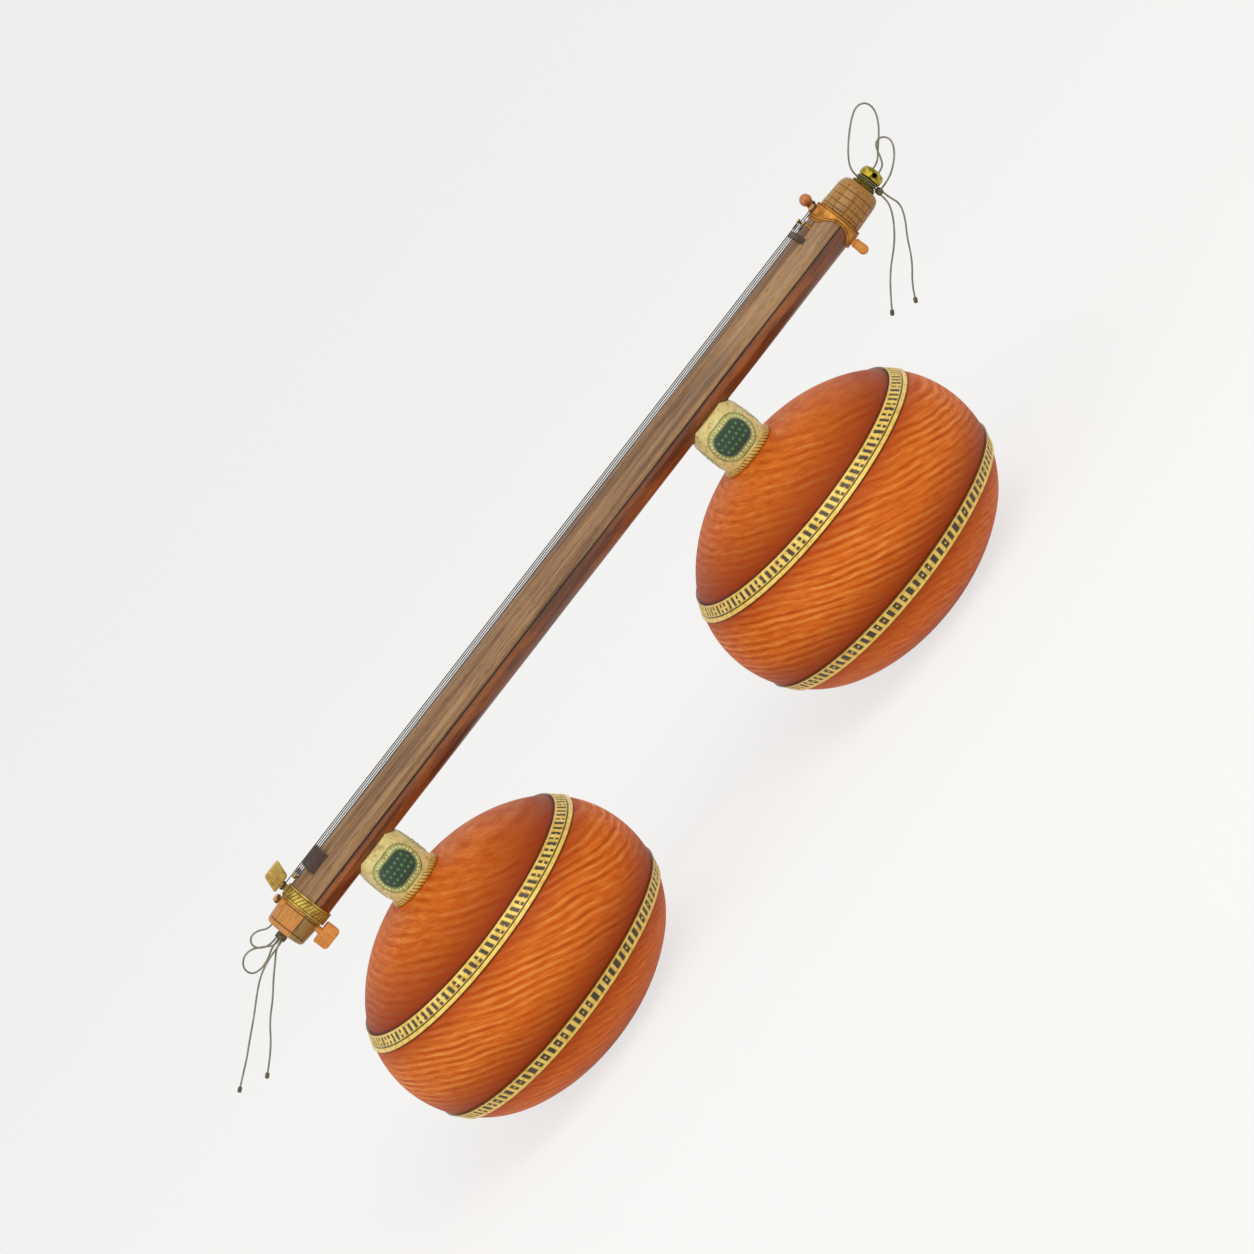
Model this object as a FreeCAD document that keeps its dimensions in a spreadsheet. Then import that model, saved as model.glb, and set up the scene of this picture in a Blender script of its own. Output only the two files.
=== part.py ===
import FreeCAD, Part
import math
import os

import Sketcher

# A two-gourd stick tanpura standing on its gourds. +X runs along the neck to the head, +Z is up.
# The origin is on the floor, midway between the lower gourd's far side and the tip of the knob.

os.makedirs("parts", exist_ok=True)
doc = FreeCAD.newDocument("two_gourd_tanpura")
sheet = doc.addObject("Spreadsheet::Sheet", "sizes")

SIZES = {
    # neck: a split tube, with a trough below the seam and a cover above it
    "neck_radius": 22.0,
    "neck_wall": 5.0,
    "neck_length": 807.5,
    "seam_drop": 2.0,
    "glue_gap": 0.05,
    "seat_gap": 0.2,
    # end blocks and ferrules
    "block_step": 1.5,
    "tail_block_length": 27.5,
    "tail_block_round": 4.0,
    "tail_tenon_length": 26.0,
    "head_block_length": 36.0,
    "head_block_round": 8.0,
    "head_tenon_length": 28.0,
    "tenon_gap": 0.1,
    "ferrule_thickness": 2.2,
    "tail_ferrule_width": 12.5,
    "head_ferrule_width": 17.0,
    "head_ferrule_waist": 6.5,
    "boss_margin": 1.2,
    # brass knob on the head block
    "knob_length": 19.0,
    "knob_radius": 11.4,
    "knob_round": 6.0,
    "knob_flange_radius": 12.0,
    "knob_flange_thickness": 2.4,
    "knob_groove_radius": 9.0,
    "knob_hole_radius": 2.4,
    "knob_tang_radius": 4.0,
    "knob_tang_length": 15.0,
    # pegs
    "peg_radius": 3.5,
    "peg_clearance": 0.08,
    "peg_offset": 8.5,
    "tail_upper_peg_inset": 6.5,
    "tail_lower_peg_outset": 5.0,
    "head_upper_peg_inset": 6.0,
    "head_lower_peg_inset": 9.2,
    "handle_gap": 0.3,
    "bulb_radius": 6.0,
    "bulb_neck_radius": 4.2,
    "bulb_length": 10.5,
    "finger_radius": 5.0,
    "finger_length": 15.0,
    "paddle_width": 20.0,
    "paddle_thickness": 7.0,
    "paddle_height": 16.5,
    "paddle_lean": 6.0,
    "block_paddle_width": 23.0,
    "block_paddle_height": 14.5,
    "block_paddle_round": 3.5,
    # strings, windings, bridge, nut and hitch pins
    "string_radius": 0.5,
    "string_rise": 0.8,
    "winding_turn_gap": 0.45,
    "string_gap": 0.2,
    "post_above_string": 4.5,
    "bridge_inset": 33.0,
    "bridge_length": 22.0,
    "nut_inset": 36.0,
    "nut_length": 6.0,
    "saddle_half_width": 16.0,
    "saddle_shoulder": 2.0,
    "hitch_pin_radius": 1.25,
    "hitch_pin_head_radius": 2.4,
    "hitch_pin_head_thickness": 1.0,
    "hitch_pin_depth": 4.0,
    "hitch_pin_inset": 8.0,
    # gourds
    "gourd_radius": 160.0,
    "gourd_height": 230.0,
    "gourd_waist_height": 113.0,
    "gourd_belly_radius": 105.0,
    "gourd_crown_curve": 160.0,
    "gourd_foot_curve": 175.0,
    "gourd_foot_radius": 48.0,
    "gourd_wall": 6.0,
    "gourd_mouth_gap": 0.3,
    "dimple_radius": 20.0,
    "dimple_depth": 5.0,
    "crown_margin": 1.5,
    "lower_gourd_station": 112.0,
    "gourd_spacing": 502.0,
    # gilt bands round the gourds
    "band_width": 14.0,
    "band_thickness": 1.8,
    "upper_band_rise": 59.0,
    "lower_band_drop": 45.0,
    # collars between the gourds and the neck
    "collar_height": 48.0,
    "collar_radius": 29.0,
    "collar_side_curve": 110.0,
    "collar_shoulder_rise": 1.0,
    "collar_wrap": 8.0,
    "collar_top_radius": 24.8,
    "spigot_radius": 22.0,
    "spigot_length": 22.0,
    "lock_ring_radius": 30.0,
    "lock_ring_thickness": 9.0,
    "base_ring_width": 2.8,
    "base_ring_land": 0.8,
    "base_ring_height": 6.0,
    # bolts that hold the gourds to the neck
    "bolt_radius": 4.0,
    "bolt_clearance": 0.25,
    "bolt_head_radius": 9.0,
    "bolt_head_thickness": 5.0,
    "bolt_pad_width": 14.0,
    "bolt_pad_length": 20.0,
    "bolt_pad_thickness": 4.0,
    "bolt_nut_radius": 7.5,
    "bolt_nut_thickness": 6.0,
    "bolt_end": 2.0,
    # gut cords at the two ends
    "cord_diameter": 1.8,
    "lashing_gap": 0.15,
    "lashing_turn_gap": 0.45,
    "head_knot_radius": 3.8,
    "head_knot_length": 7.0,
    "tail_knot_radius": 5.5,
    "tail_knot_length": 8.0,
    "end_knot_radius": 2.1,
    "end_knot_length": 6.0,
}
for row, (name, value) in enumerate(SIZES.items(), start=1):
    sheet.set(f"A{row}", name)
    sheet.set(f"B{row}", str(value))
    sheet.setAlias(f"B{row}", name)
doc.recompute()


class Size:
    """A length known both as a number and as an expression on the sheet of sizes."""

    def __init__(self, value, text):
        self.value = float(value)
        self.text = text

    def __add__(self, other):
        other = as_size(other)
        return Size(self.value + other.value, f"({self.text} + {other.text})")

    def __sub__(self, other):
        other = as_size(other)
        return Size(self.value - other.value, f"({self.text} - {other.text})")

    def __mul__(self, other):
        other = as_size(other)
        return Size(self.value * other.value, f"({self.text} * {other.text})")

    def __truediv__(self, other):
        other = as_size(other)
        return Size(self.value / other.value, f"({self.text} / {other.text})")

    def __neg__(self):
        return Size(-self.value, f"(0 - {self.text})")


def as_size(number):
    return number if isinstance(number, Size) else Size(number, repr(number))


def root(size):
    return Size(math.sqrt(size.value), f"sqrt({size.text})")


def side_of(radius, height):
    """How far a circle of this radius reaches sideways at a height above its centre."""
    return root(radius * radius - height * height)


def size(name):
    return Size(float(sheet.get(name)), "sizes." + name)


ZERO = Size(0.0, "0")
GLUE = size("glue_gap")
NECK_R = size("neck_radius")
BORE_R = NECK_R - size("neck_wall")
NECK_LENGTH = size("neck_length")

# Stations along X
TOTAL_LENGTH = size("tail_block_length") + NECK_LENGTH + size("head_block_length") + size("knob_length")
TAIL_REACH = size("gourd_radius") - size("lower_gourd_station")
TAIL_END = (TAIL_REACH - TOTAL_LENGTH) / 2
TUBE_TAIL = TAIL_END + size("tail_block_length")
TUBE_HEAD = TUBE_TAIL + NECK_LENGTH
HEAD_END = TUBE_HEAD + size("head_block_length")
GOURD_X = {"lower": TAIL_END + size("lower_gourd_station")}
GOURD_X["upper"] = GOURD_X["lower"] + size("gourd_spacing")

# Heights above the floor, or above the neck's axis where the name says so
WAIST_Z = size("gourd_waist_height")
GOURD_TOP = size("gourd_height")
AXIS_Z = GOURD_TOP + size("collar_height") + NECK_R
FERRULE_R = NECK_R + GLUE + size("ferrule_thickness")
STRING_ABOVE_AXIS = FERRULE_R + size("string_rise")
STRING_R = size("string_radius")
WINDING_TURNS = 2
WINDING_PITCH = STRING_R * 2 + size("winding_turn_gap")
WINDING_TOP = STRING_ABOVE_AXIS + WINDING_PITCH * WINDING_TURNS + STRING_R
HANDLE_ABOVE_AXIS = WINDING_TOP + size("handle_gap")
HANDLE_BELOW_AXIS = FERRULE_R + size("handle_gap")
PEG_Y = size("peg_offset")
PEG_HOLE_R = size("peg_radius") + size("peg_clearance")
WINDING_R = size("peg_radius") + GLUE + STRING_R
STRING_END_FROM_PEG = side_of(WINDING_R + STRING_R, WINDING_R - STRING_R) + size("string_gap")
INNER_STRING_Y = PEG_Y - WINDING_R
OUTER_STRING_Y = PEG_Y + WINDING_R

nodes = {}


def bind(thing, place, length):
    thing.setExpression(place, length.text)


def put(thing, x=None, y=None, z=None):
    """Tie a sub-part's place to the sizes."""
    for axis, length in (("x", x), ("y", y), ("z", z)):
        if length is not None:
            bind(thing, "Placement.Base." + axis, length)


def new_body(name, x=None, y=None, z=None):
    body = doc.addObject("PartDesign::Body", name)
    body.Label = name
    put(body, x, y, z)
    nodes[name] = body
    return body


def new_sketch(body, name, plane):
    sketch = body.newObject("Sketcher::SketchObject", name)
    origin_plane = [part for part in body.Origin.OriginFeatures if part.Role == plane][0]
    sketch.AttachmentSupport = [(origin_plane, "")]
    sketch.MapMode = "FlatFace"
    return sketch


def fix(sketch, geometry, point, across=None, up=None):
    """Dimension a point of the sketch from its origin, or set it on an axis where the length is zero."""
    for kind, length, axis in (("DistanceX", across, -2), ("DistanceY", up, -1)):
        if length is None:
            continue
        if length is ZERO:
            sketch.addConstraint(Sketcher.Constraint("PointOnObject", geometry, point, axis))
            continue
        index = sketch.addConstraint(Sketcher.Constraint(kind, -1, 1, geometry, point, length.value))
        bind(sketch, f"Constraints[{index}]", length)


def outline(body, name, plane, corners):
    """A closed outline. A corner is (across, up), and then the edge to the next corner: nothing for a
    line, or (centre across, centre up, turn) for an arc, with turn +1 anticlockwise."""
    sketch = new_sketch(body, name, plane)
    count = len(corners)
    ends = []
    for number, corner in enumerate(corners):
        after = corners[(number + 1) % count]
        start = FreeCAD.Vector(corner[0].value, corner[1].value, 0)
        end = FreeCAD.Vector(after[0].value, after[1].value, 0)
        if len(corner) == 2:
            sketch.addGeometry(Part.LineSegment(start, end), False)
            ends.append((1, 2))
            continue
        across, up, turn = corner[2]
        centre = FreeCAD.Vector(across.value, up.value, 0)
        first, last = (start, end) if turn > 0 else (end, start)
        circle = Part.Circle(centre, FreeCAD.Vector(0, 0, 1), first.distanceToPoint(centre))
        angles = [math.atan2(point.y - centre.y, point.x - centre.x) for point in (first, last)]
        sketch.addGeometry(Part.ArcOfCircle(circle, angles[0], angles[1]), False)
        ends.append((1, 2) if turn > 0 else (2, 1))
    for number, corner in enumerate(corners):
        before = (number - 1) % count
        meeting = (before, ends[before][1], number, ends[number][0])
        sketch.addConstraint(Sketcher.Constraint("Coincident", *meeting))
        fix(sketch, number, ends[number][0], corner[0], corner[1])
        if len(corner) == 3:
            after = corners[(number + 1) % count]
            wide = abs(after[0].value - corner[0].value) > abs(after[1].value - corner[1].value)
            if wide:
                fix(sketch, number, 3, up=corner[2][1])
            else:
                fix(sketch, number, 3, across=corner[2][0])
    return sketch


def circles(body, name, plane, rounds):
    """A sketch of circles, each given as (across, up, radius)."""
    sketch = new_sketch(body, name, plane)
    for number, (across, up, radius) in enumerate(rounds):
        centre = FreeCAD.Vector(across.value, up.value, 0)
        sketch.addGeometry(Part.Circle(centre, FreeCAD.Vector(0, 0, 1), radius.value), False)
        fix(sketch, number, 3, across, up)
        index = sketch.addConstraint(Sketcher.Constraint("Radius", number, radius.value))
        bind(sketch, f"Constraints[{index}]", radius)
    return sketch


def pad(body, name, sketch, length, both_ways=False, backwards=False):
    feature = body.newObject("PartDesign::Pad", name)
    feature.Profile = sketch
    feature.Midplane = both_ways
    feature.Reversed = backwards
    bind(feature, "Length", length)
    return feature


def cut_through(body, name, sketch):
    """A pocket that cuts right through the piece, both ways from its sketch."""
    feature = body.newObject("PartDesign::Pocket", name)
    feature.Profile = sketch
    feature.Type = "ThroughAll"
    feature.Midplane = True
    return feature


def revolve(body, name, sketch, axis, groove=False):
    feature = body.newObject("PartDesign::Groove" if groove else "PartDesign::Revolution", name)
    feature.Profile = sketch
    feature.ReferenceAxis = (sketch, [axis])
    feature.Angle = 360
    return feature


# Pegs: where each one stands along X, and on which side of the neck
PEGS = {
    "tail_upper": (TUBE_TAIL + size("tail_upper_peg_inset"), PEG_Y),
    "tail_lower": (TUBE_TAIL - size("tail_lower_peg_outset"), -PEG_Y),
    "head_upper": (TUBE_HEAD - size("head_upper_peg_inset"), PEG_Y),
    "head_lower": (TUBE_HEAD - size("head_lower_peg_inset"), -PEG_Y),
}

# Strings: the peg that each one winds on, and its distance from the middle of the neck
STRINGS = {
    "first_string": ("head_upper", INNER_STRING_Y),
    "second_string": ("head_lower", -INNER_STRING_Y),
    "third_string": ("tail_upper", OUTER_STRING_Y),
    "fourth_string": ("tail_lower", -OUTER_STRING_Y),
}
HITCH_TAIL_X = TUBE_TAIL + size("tail_ferrule_width") + size("hitch_pin_inset")
HITCH_HEAD_X = TUBE_HEAD - size("head_ferrule_width") - size("hitch_pin_inset")


def drill_pegs(body, origin_x, names):
    """Bore the pegs' holes right through a piece that is placed at origin_x."""
    rounds = [(PEGS[name][0] - origin_x, PEGS[name][1], PEG_HOLE_R) for name in names]
    cut_through(body, "peg_holes", circles(body, "peg_hole_circles", "XY_Plane", rounds))


# Neck: the trough below the seam and the cover above it
SEAM = -size("seam_drop")
SEAM_OUTSIDE = side_of(NECK_R, SEAM)
SEAM_INSIDE = side_of(BORE_R, SEAM)
TUBE_PEGS = ("tail_upper", "head_upper", "head_lower")


def make_neck_trough():
    body = new_body("neck_trough", x=TUBE_TAIL, z=AXIS_Z)
    corners = [
        (-SEAM_OUTSIDE, SEAM, (ZERO, ZERO, 1)),
        (SEAM_OUTSIDE, SEAM),
        (SEAM_INSIDE, SEAM, (ZERO, ZERO, -1)),
        (-SEAM_INSIDE, SEAM),
    ]
    pad(body, "half_tube", outline(body, "section", "YZ_Plane", corners), NECK_LENGTH)
    drill_pegs(body, TUBE_TAIL, TUBE_PEGS)
    bolt_hole = size("bolt_radius") + size("bolt_clearance")
    rounds = [(GOURD_X[which] - TUBE_TAIL, ZERO, bolt_hole) for which in ("lower", "upper")]
    cut_through(body, "bolt_holes", circles(body, "bolt_hole_circles", "XY_Plane", rounds))


def make_neck_cover():
    body = new_body("neck_cover", x=TUBE_TAIL, z=AXIS_Z)
    corners = [
        (SEAM_OUTSIDE, SEAM, (ZERO, ZERO, 1)),
        (-SEAM_OUTSIDE, SEAM),
        (-SEAM_INSIDE, SEAM, (ZERO, ZERO, -1)),
        (SEAM_INSIDE, SEAM),
    ]
    pad(body, "half_tube", outline(body, "section", "YZ_Plane", corners), NECK_LENGTH)
    drill_pegs(body, TUBE_TAIL, TUBE_PEGS)
    pin_hole = size("hitch_pin_radius") + GLUE
    rounds = []
    for station, offset in ((HITCH_TAIL_X, INNER_STRING_Y), (HITCH_HEAD_X, OUTER_STRING_Y)):
        rounds.append((station - TUBE_TAIL, offset, pin_hole))
        rounds.append((station - TUBE_TAIL, -offset, pin_hole))
    cut_through(body, "pin_holes", circles(body, "pin_hole_circles", "XY_Plane", rounds))


# End blocks: turned plugs with a tenon in the tube, and a body that carries on the neck's line
def make_end_block(name, end, origin_x, length, rounding, tenon_length, pegs, socket=None):
    """end is +1 at the head and -1 at the tail; the block's own X starts at the tube's end."""
    body = new_body(name, x=origin_x, z=AXIS_Z)
    block_r = NECK_R - size("block_step")
    tenon_r = BORE_R - size("tenon_gap")
    outward = ZERO + length * end
    inward = ZERO - tenon_length * end
    shoulder = outward - rounding * end
    corners = [
        (inward, ZERO),
        (inward, tenon_r),
        (ZERO, tenon_r),
        (ZERO, NECK_R),
        (shoulder, block_r, (shoulder, block_r - rounding, -end)),
        (outward, block_r - rounding),
    ]
    if socket is None:
        corners += [(outward, ZERO)]
    else:
        socket_r, socket_depth = socket
        bottom = outward - socket_depth * end
        corners += [(outward, socket_r), (bottom, socket_r), (bottom, ZERO)]
    revolve(body, "turning", outline(body, "profile", "XZ_Plane", corners), "H_Axis")
    drill_pegs(body, origin_x, pegs)


# Ferrules: rings on the tube's ends; the head's is cut away at the sides to a narrow waist
def make_ferrule(name, end, origin_x, width, pegs, waist=None):
    body = new_body(name, x=origin_x, z=AXIS_Z)
    rounds = [(ZERO, ZERO, FERRULE_R), (ZERO, ZERO, NECK_R + GLUE)]
    ring = circles(body, "ring_circles", "YZ_Plane", rounds)
    pad(body, "ring", ring, width, backwards=end > 0)
    if waist is not None:
        boss_height = side_of(NECK_R, PEG_Y + PEG_HOLE_R + size("boss_margin"))
        reach = width - waist
        cut_r = (reach * reach + boss_height * boss_height) / (reach * 2)
        centre = ZERO - (waist + cut_r) * end
        cut_through(body, "waist", circles(body, "waist_circle", "XZ_Plane", [(centre, ZERO, cut_r)]))
    drill_pegs(body, origin_x, pegs)


CORD_R = size("cord_diameter") / 2
LASHING_TURNS = 2
LASHING_PITCH = size("cord_diameter") + size("lashing_turn_gap")
LASHING_R = size("knob_groove_radius") + size("lashing_gap") + CORD_R
LASHING_START = size("knob_flange_thickness") + size("lashing_gap") + CORD_R
LASHING_END = LASHING_START + LASHING_PITCH * LASHING_TURNS
GROOVE_END = LASHING_END + CORD_R + size("lashing_gap")


def make_head_knob():
    body = new_body("head_knob", x=HEAD_END, z=AXIS_Z)
    flange = size("knob_flange_thickness")
    length = size("knob_length")
    barrel_r = size("knob_radius")
    rounding = size("knob_round")
    tang_r = size("knob_tang_radius")
    tang_end = ZERO - size("knob_tang_length")
    corners = [
        (tang_end, ZERO),
        (tang_end, tang_r),
        (ZERO, tang_r),
        (ZERO, size("knob_flange_radius")),
        (flange, size("knob_flange_radius")),
        (flange, size("knob_groove_radius")),
        (GROOVE_END, size("knob_groove_radius")),
        (GROOVE_END, barrel_r),
        (length - rounding, barrel_r, (length - rounding, barrel_r - rounding, -1)),
        (length, barrel_r - rounding),
        (length, ZERO),
    ]
    revolve(body, "turning", outline(body, "profile", "XZ_Plane", corners), "H_Axis")
    hole = [((GROOVE_END + length) / 2, ZERO, size("knob_hole_radius"))]
    cut_through(body, "cross_hole", circles(body, "cross_hole_circle", "XZ_Plane", hole))


# Pegs: a round shaft through the neck, with a handle on one side of it
def make_peg(name, up):
    """up is +1 where the handle stands above the neck and -1 where it hangs below."""
    body = new_body(name + "_peg", x=PEGS[name][0], y=PEGS[name][1], z=AXIS_Z)
    shaft = size("peg_radius")
    if up > 0:
        handle = HANDLE_ABOVE_AXIS
        shaft_end = ZERO - side_of(NECK_R, PEG_Y)
    else:
        handle = ZERO - HANDLE_BELOW_AXIS
        shaft_end = STRING_ABOVE_AXIS + size("post_above_string")
    corners = [(ZERO, shaft_end), (shaft, shaft_end), (shaft, handle)]
    if name == "head_upper":
        neck = size("bulb_neck_radius")
        ball = size("bulb_radius")
        rise = size("bulb_length") - ball
        swell = ball - neck
        flank = (swell * swell + rise * rise) / (swell * 2)
        widest = handle + rise
        corners += [
            (neck, handle, (ball - flank, widest, 1)),
            (ball, widest, (ZERO, widest, 1)),
            (ZERO, widest + ball),
        ]
    elif name == "head_lower":
        finger = size("finger_radius")
        centre = handle - size("finger_length") + finger
        corners += [(finger, handle), (finger, centre, (ZERO, centre, -1)), (ZERO, centre - finger)]
    else:
        corners += [(ZERO, handle)]
    revolve(body, "turning", outline(body, "profile", "XZ_Plane", corners), "V_Axis")
    if name == "tail_upper":
        half = size("paddle_width") / 2
        top = handle + size("paddle_height")
        lean = size("paddle_lean")
        corners = [(-half, handle), (half, handle), (half + lean, top), (lean - half, top)]
    elif name == "tail_lower":
        half = size("block_paddle_width") / 2
        bottom = handle - size("block_paddle_height")
        corner = size("block_paddle_round")
        corners = [
            (-half, handle),
            (-half, bottom + corner, (corner - half, bottom + corner, 1)),
            (corner - half, bottom),
            (half - corner, bottom, (half - corner, bottom + corner, 1)),
            (half, bottom + corner),
            (half, handle),
        ]
    else:
        return
    paddle = outline(body, "paddle_outline", "XZ_Plane", corners)
    pad(body, "paddle", paddle, size("paddle_thickness"), both_ways=True)


# Turns of wire and of gut: quarter-turn arcs that climb, each running smoothly into the next
def turning_arcs(centre, along, across, radius, pitch, turns, way):
    """A climb round the direction along, from the point centre + across * radius. Way is +1 where it
    turns anticlockwise, seen from the end that it climbs to. Each arc lies in its own tilted plane, so
    its middle stands a hair off the cylinder."""
    sideways = along.cross(across) * way
    quarter = math.pi / 2
    lean = pitch * pitch / (32 * math.sqrt(2) * radius)
    flat = radius / math.sqrt(2) + lean
    bulge = math.sqrt(flat * flat + radius * radius / 2 + pitch * pitch / 64) - lean

    def place(angle, far, rise):
        return centre + across * (far * math.cos(angle)) + sideways * (far * math.sin(angle)) + along * rise

    arcs = []
    for number in range(4 * turns):
        angle = number * quarter
        rise = number * pitch / 4
        first = place(angle, radius, rise)
        middle = place(angle + quarter / 2, bulge, rise + pitch / 8)
        last = place(angle + quarter, radius, rise + pitch / 4)
        arcs.append(Part.Arc(first, middle, last).toShape())
    return arcs


def gap_in_turns(path, tube_r, reach):
    """The least gap between the tube and itself, measured on points that are over reach apart along it."""
    points = path.discretize(Distance=tube_r)
    step = path.Length / (len(points) - 1)
    apart = math.ceil(reach / step)
    least = min(
        points[first].distanceToPoint(points[second])
        for first in range(len(points))
        for second in range(first + apart, len(points)))
    return least - 2 * tube_r


def wind(name, edges, tube_r, turn_r):
    """Sweep a round tube along the edges of a winding."""
    path = Part.Wire(edges)
    start = edges[0].valueAt(edges[0].FirstParameter)
    ahead = edges[0].tangentAt(edges[0].FirstParameter)
    section = Part.Wire([Part.Circle(start, ahead, tube_r).toShape()])
    tube = path.makePipeShell([section], True, False)
    winding = doc.addObject("Part::Feature", name)
    winding.Label = name
    winding.Shape = tube
    nodes[name] = winding
    expected = math.pi * tube_r ** 2 * path.Length
    gap = gap_in_turns(path, tube_r, math.pi * turn_r)
    print(f"{name}: length {path.Length:.1f} mm, least gap to itself {gap:.2f} mm, "
          f"volume {tube.Volume / expected:.3f} of section times length")


# String windings: the end of each string, turned round its peg just above the ferrule
def make_winding(name):
    peg_x, peg_y = PEGS[name]
    to_head = name.startswith("head")
    string_y = [offset for peg, offset in STRINGS.values() if peg == name][0]
    across = FreeCAD.Vector(0, 1 if string_y.value > peg_y.value else -1, 0)
    incoming = FreeCAD.Vector(1 if to_head else -1, 0, 0)
    up = FreeCAD.Vector(0, 0, 1)
    way = 1 if up.cross(across).dot(incoming) > 0 else -1
    wire_r = STRING_R.value
    turn_r = WINDING_R.value
    lead = STRING_END_FROM_PEG.value - GLUE.value
    centre = FreeCAD.Vector(peg_x.value, peg_y.value, (AXIS_Z + STRING_ABOVE_AXIS).value)
    arcs = turning_arcs(centre, up, across, turn_r, WINDING_PITCH.value, WINDING_TURNS, way)
    start = arcs[0].valueAt(arcs[0].FirstParameter)
    ahead = arcs[0].tangentAt(arcs[0].FirstParameter)
    straight = Part.LineSegment(start - ahead * lead, start).toShape()
    wind(name + "_winding", [straight] + arcs, wire_r, turn_r)


# Strings: a straight wire from an eye round its hitch pin to the winding on its peg
def make_string(name):
    peg, offset = STRINGS[name]
    to_head = peg.startswith("head")
    pin_x = HITCH_TAIL_X if to_head else HITCH_HEAD_X
    eye_r = size("hitch_pin_radius") + size("string_gap") + size("string_radius")
    eye = doc.addObject("Part::Torus", name + "_eye")
    bind(eye, "Radius1", eye_r)
    bind(eye, "Radius2", size("string_radius"))
    eye.Placement = FreeCAD.Placement(FreeCAD.Vector(), FreeCAD.Rotation(FreeCAD.Vector(0, 0, 1), 90))
    put(eye, x=pin_x, y=offset, z=AXIS_Z + STRING_ABOVE_AXIS)
    wire = doc.addObject("Part::Cylinder", name + "_wire")
    bind(wire, "Radius", size("string_radius"))
    wire.Placement = FreeCAD.Placement(FreeCAD.Vector(), FreeCAD.Rotation(FreeCAD.Vector(0, 1, 0), 90))
    if to_head:
        start = pin_x + eye_r
        end = PEGS[peg][0] - STRING_END_FROM_PEG
    else:
        start = PEGS[peg][0] + STRING_END_FROM_PEG
        end = pin_x - eye_r
    bind(wire, "Height", end - start)
    put(wire, x=start, y=offset, z=AXIS_Z + STRING_ABOVE_AXIS)
    string = doc.addObject("Part::MultiFuse", name)
    string.Label = name
    string.Shapes = [eye, wire]
    nodes[name] = string


def make_hitch_pin(name, pin_x, offset):
    body = new_body(name, x=pin_x, y=offset, z=AXIS_Z)
    pin = size("hitch_pin_radius")
    head = size("hitch_pin_head_radius")
    bottom = side_of(NECK_R, offset) - size("hitch_pin_depth")
    under_head = STRING_ABOVE_AXIS + size("string_radius") + size("string_gap")
    top = under_head + size("hitch_pin_head_thickness")
    corners = [(ZERO, bottom), (pin, bottom), (pin, under_head), (head, under_head), (head, top), (ZERO, top)]
    revolve(body, "turning", outline(body, "profile", "XZ_Plane", corners), "V_Axis")


# Bridge and nut: saddles across the crown of the neck
def make_saddle(name, start_x, length, notched):
    body = new_body(name, x=start_x, z=AXIS_Z)
    half = size("saddle_half_width")
    seat_r = NECK_R + GLUE
    seat_edge = side_of(seat_r, half)
    shoulder = size("saddle_shoulder")
    string_bottom = STRING_ABOVE_AXIS - size("string_radius") - size("string_gap")
    top = STRING_ABOVE_AXIS if notched else string_bottom
    corners = [
        (half, seat_edge, (ZERO, ZERO, 1)),
        (-half, seat_edge),
        (-half, top - shoulder),
        (shoulder - half, top),
        (half - shoulder, top),
        (half, top - shoulder),
    ]
    pad(body, "block", outline(body, "section", "YZ_Plane", corners), length)
    if notched:
        notch = size("string_radius") + size("string_gap")
        places = (INNER_STRING_Y, -INNER_STRING_Y, OUTER_STRING_Y, -OUTER_STRING_Y)
        rounds = [(place, STRING_ABOVE_AXIS, notch) for place in places]
        cut_through(body, "notches", circles(body, "notch_circles", "YZ_Plane", rounds))


# Collars: turned bells between the gourds and the neck. Their sides are one arc, widest half way up.
COLLAR_TOP = AXIS_Z - NECK_R + size("collar_wrap")
COLLAR_SHOULDER = AXIS_Z - NECK_R + size("collar_shoulder_rise")
COLLAR_MIDDLE = (GOURD_TOP + COLLAR_SHOULDER) / 2
COLLAR_SIDE_X = size("collar_radius") - size("collar_side_curve")
COLLAR_END_R = COLLAR_SIDE_X + side_of(size("collar_side_curve"), COLLAR_SHOULDER - COLLAR_MIDDLE)
RING_TOP_ABOVE_MIDDLE = COLLAR_SHOULDER - COLLAR_MIDDLE - size("base_ring_height")
BASE_RING_R = COLLAR_SIDE_X + side_of(size("collar_side_curve"), RING_TOP_ABOVE_MIDDLE) + GLUE
CROWN_EDGE = BASE_RING_R + size("base_ring_width") + size("crown_margin")
BOLT_HOLE_R = size("bolt_radius") + size("bolt_clearance")
SPIGOT_BOTTOM = GOURD_TOP - size("spigot_length")


def angle_of(vector):
    return math.atan2(vector.y, vector.x)


def smooth_centre(belly, belly_r, point, radius):
    """Centre of the arc of this radius that ends at the point and meets the belly's circle smoothly.
    It lies a distance radius - belly_r from the belly's centre and radius from the point."""
    apart = point - belly
    distance = apart.Length
    inner = radius - belly_r
    along = (inner * inner - radius * radius + distance * distance) / (2 * distance)
    across = math.sqrt(inner * inner - along * along)
    forward = apart / distance
    sideways = FreeCAD.Vector(-forward.y, forward.x, 0)
    choices = [belly + forward * along + sideways * across, belly + forward * along - sideways * across]
    return min(choices, key=lambda centre: centre.x)


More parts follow.
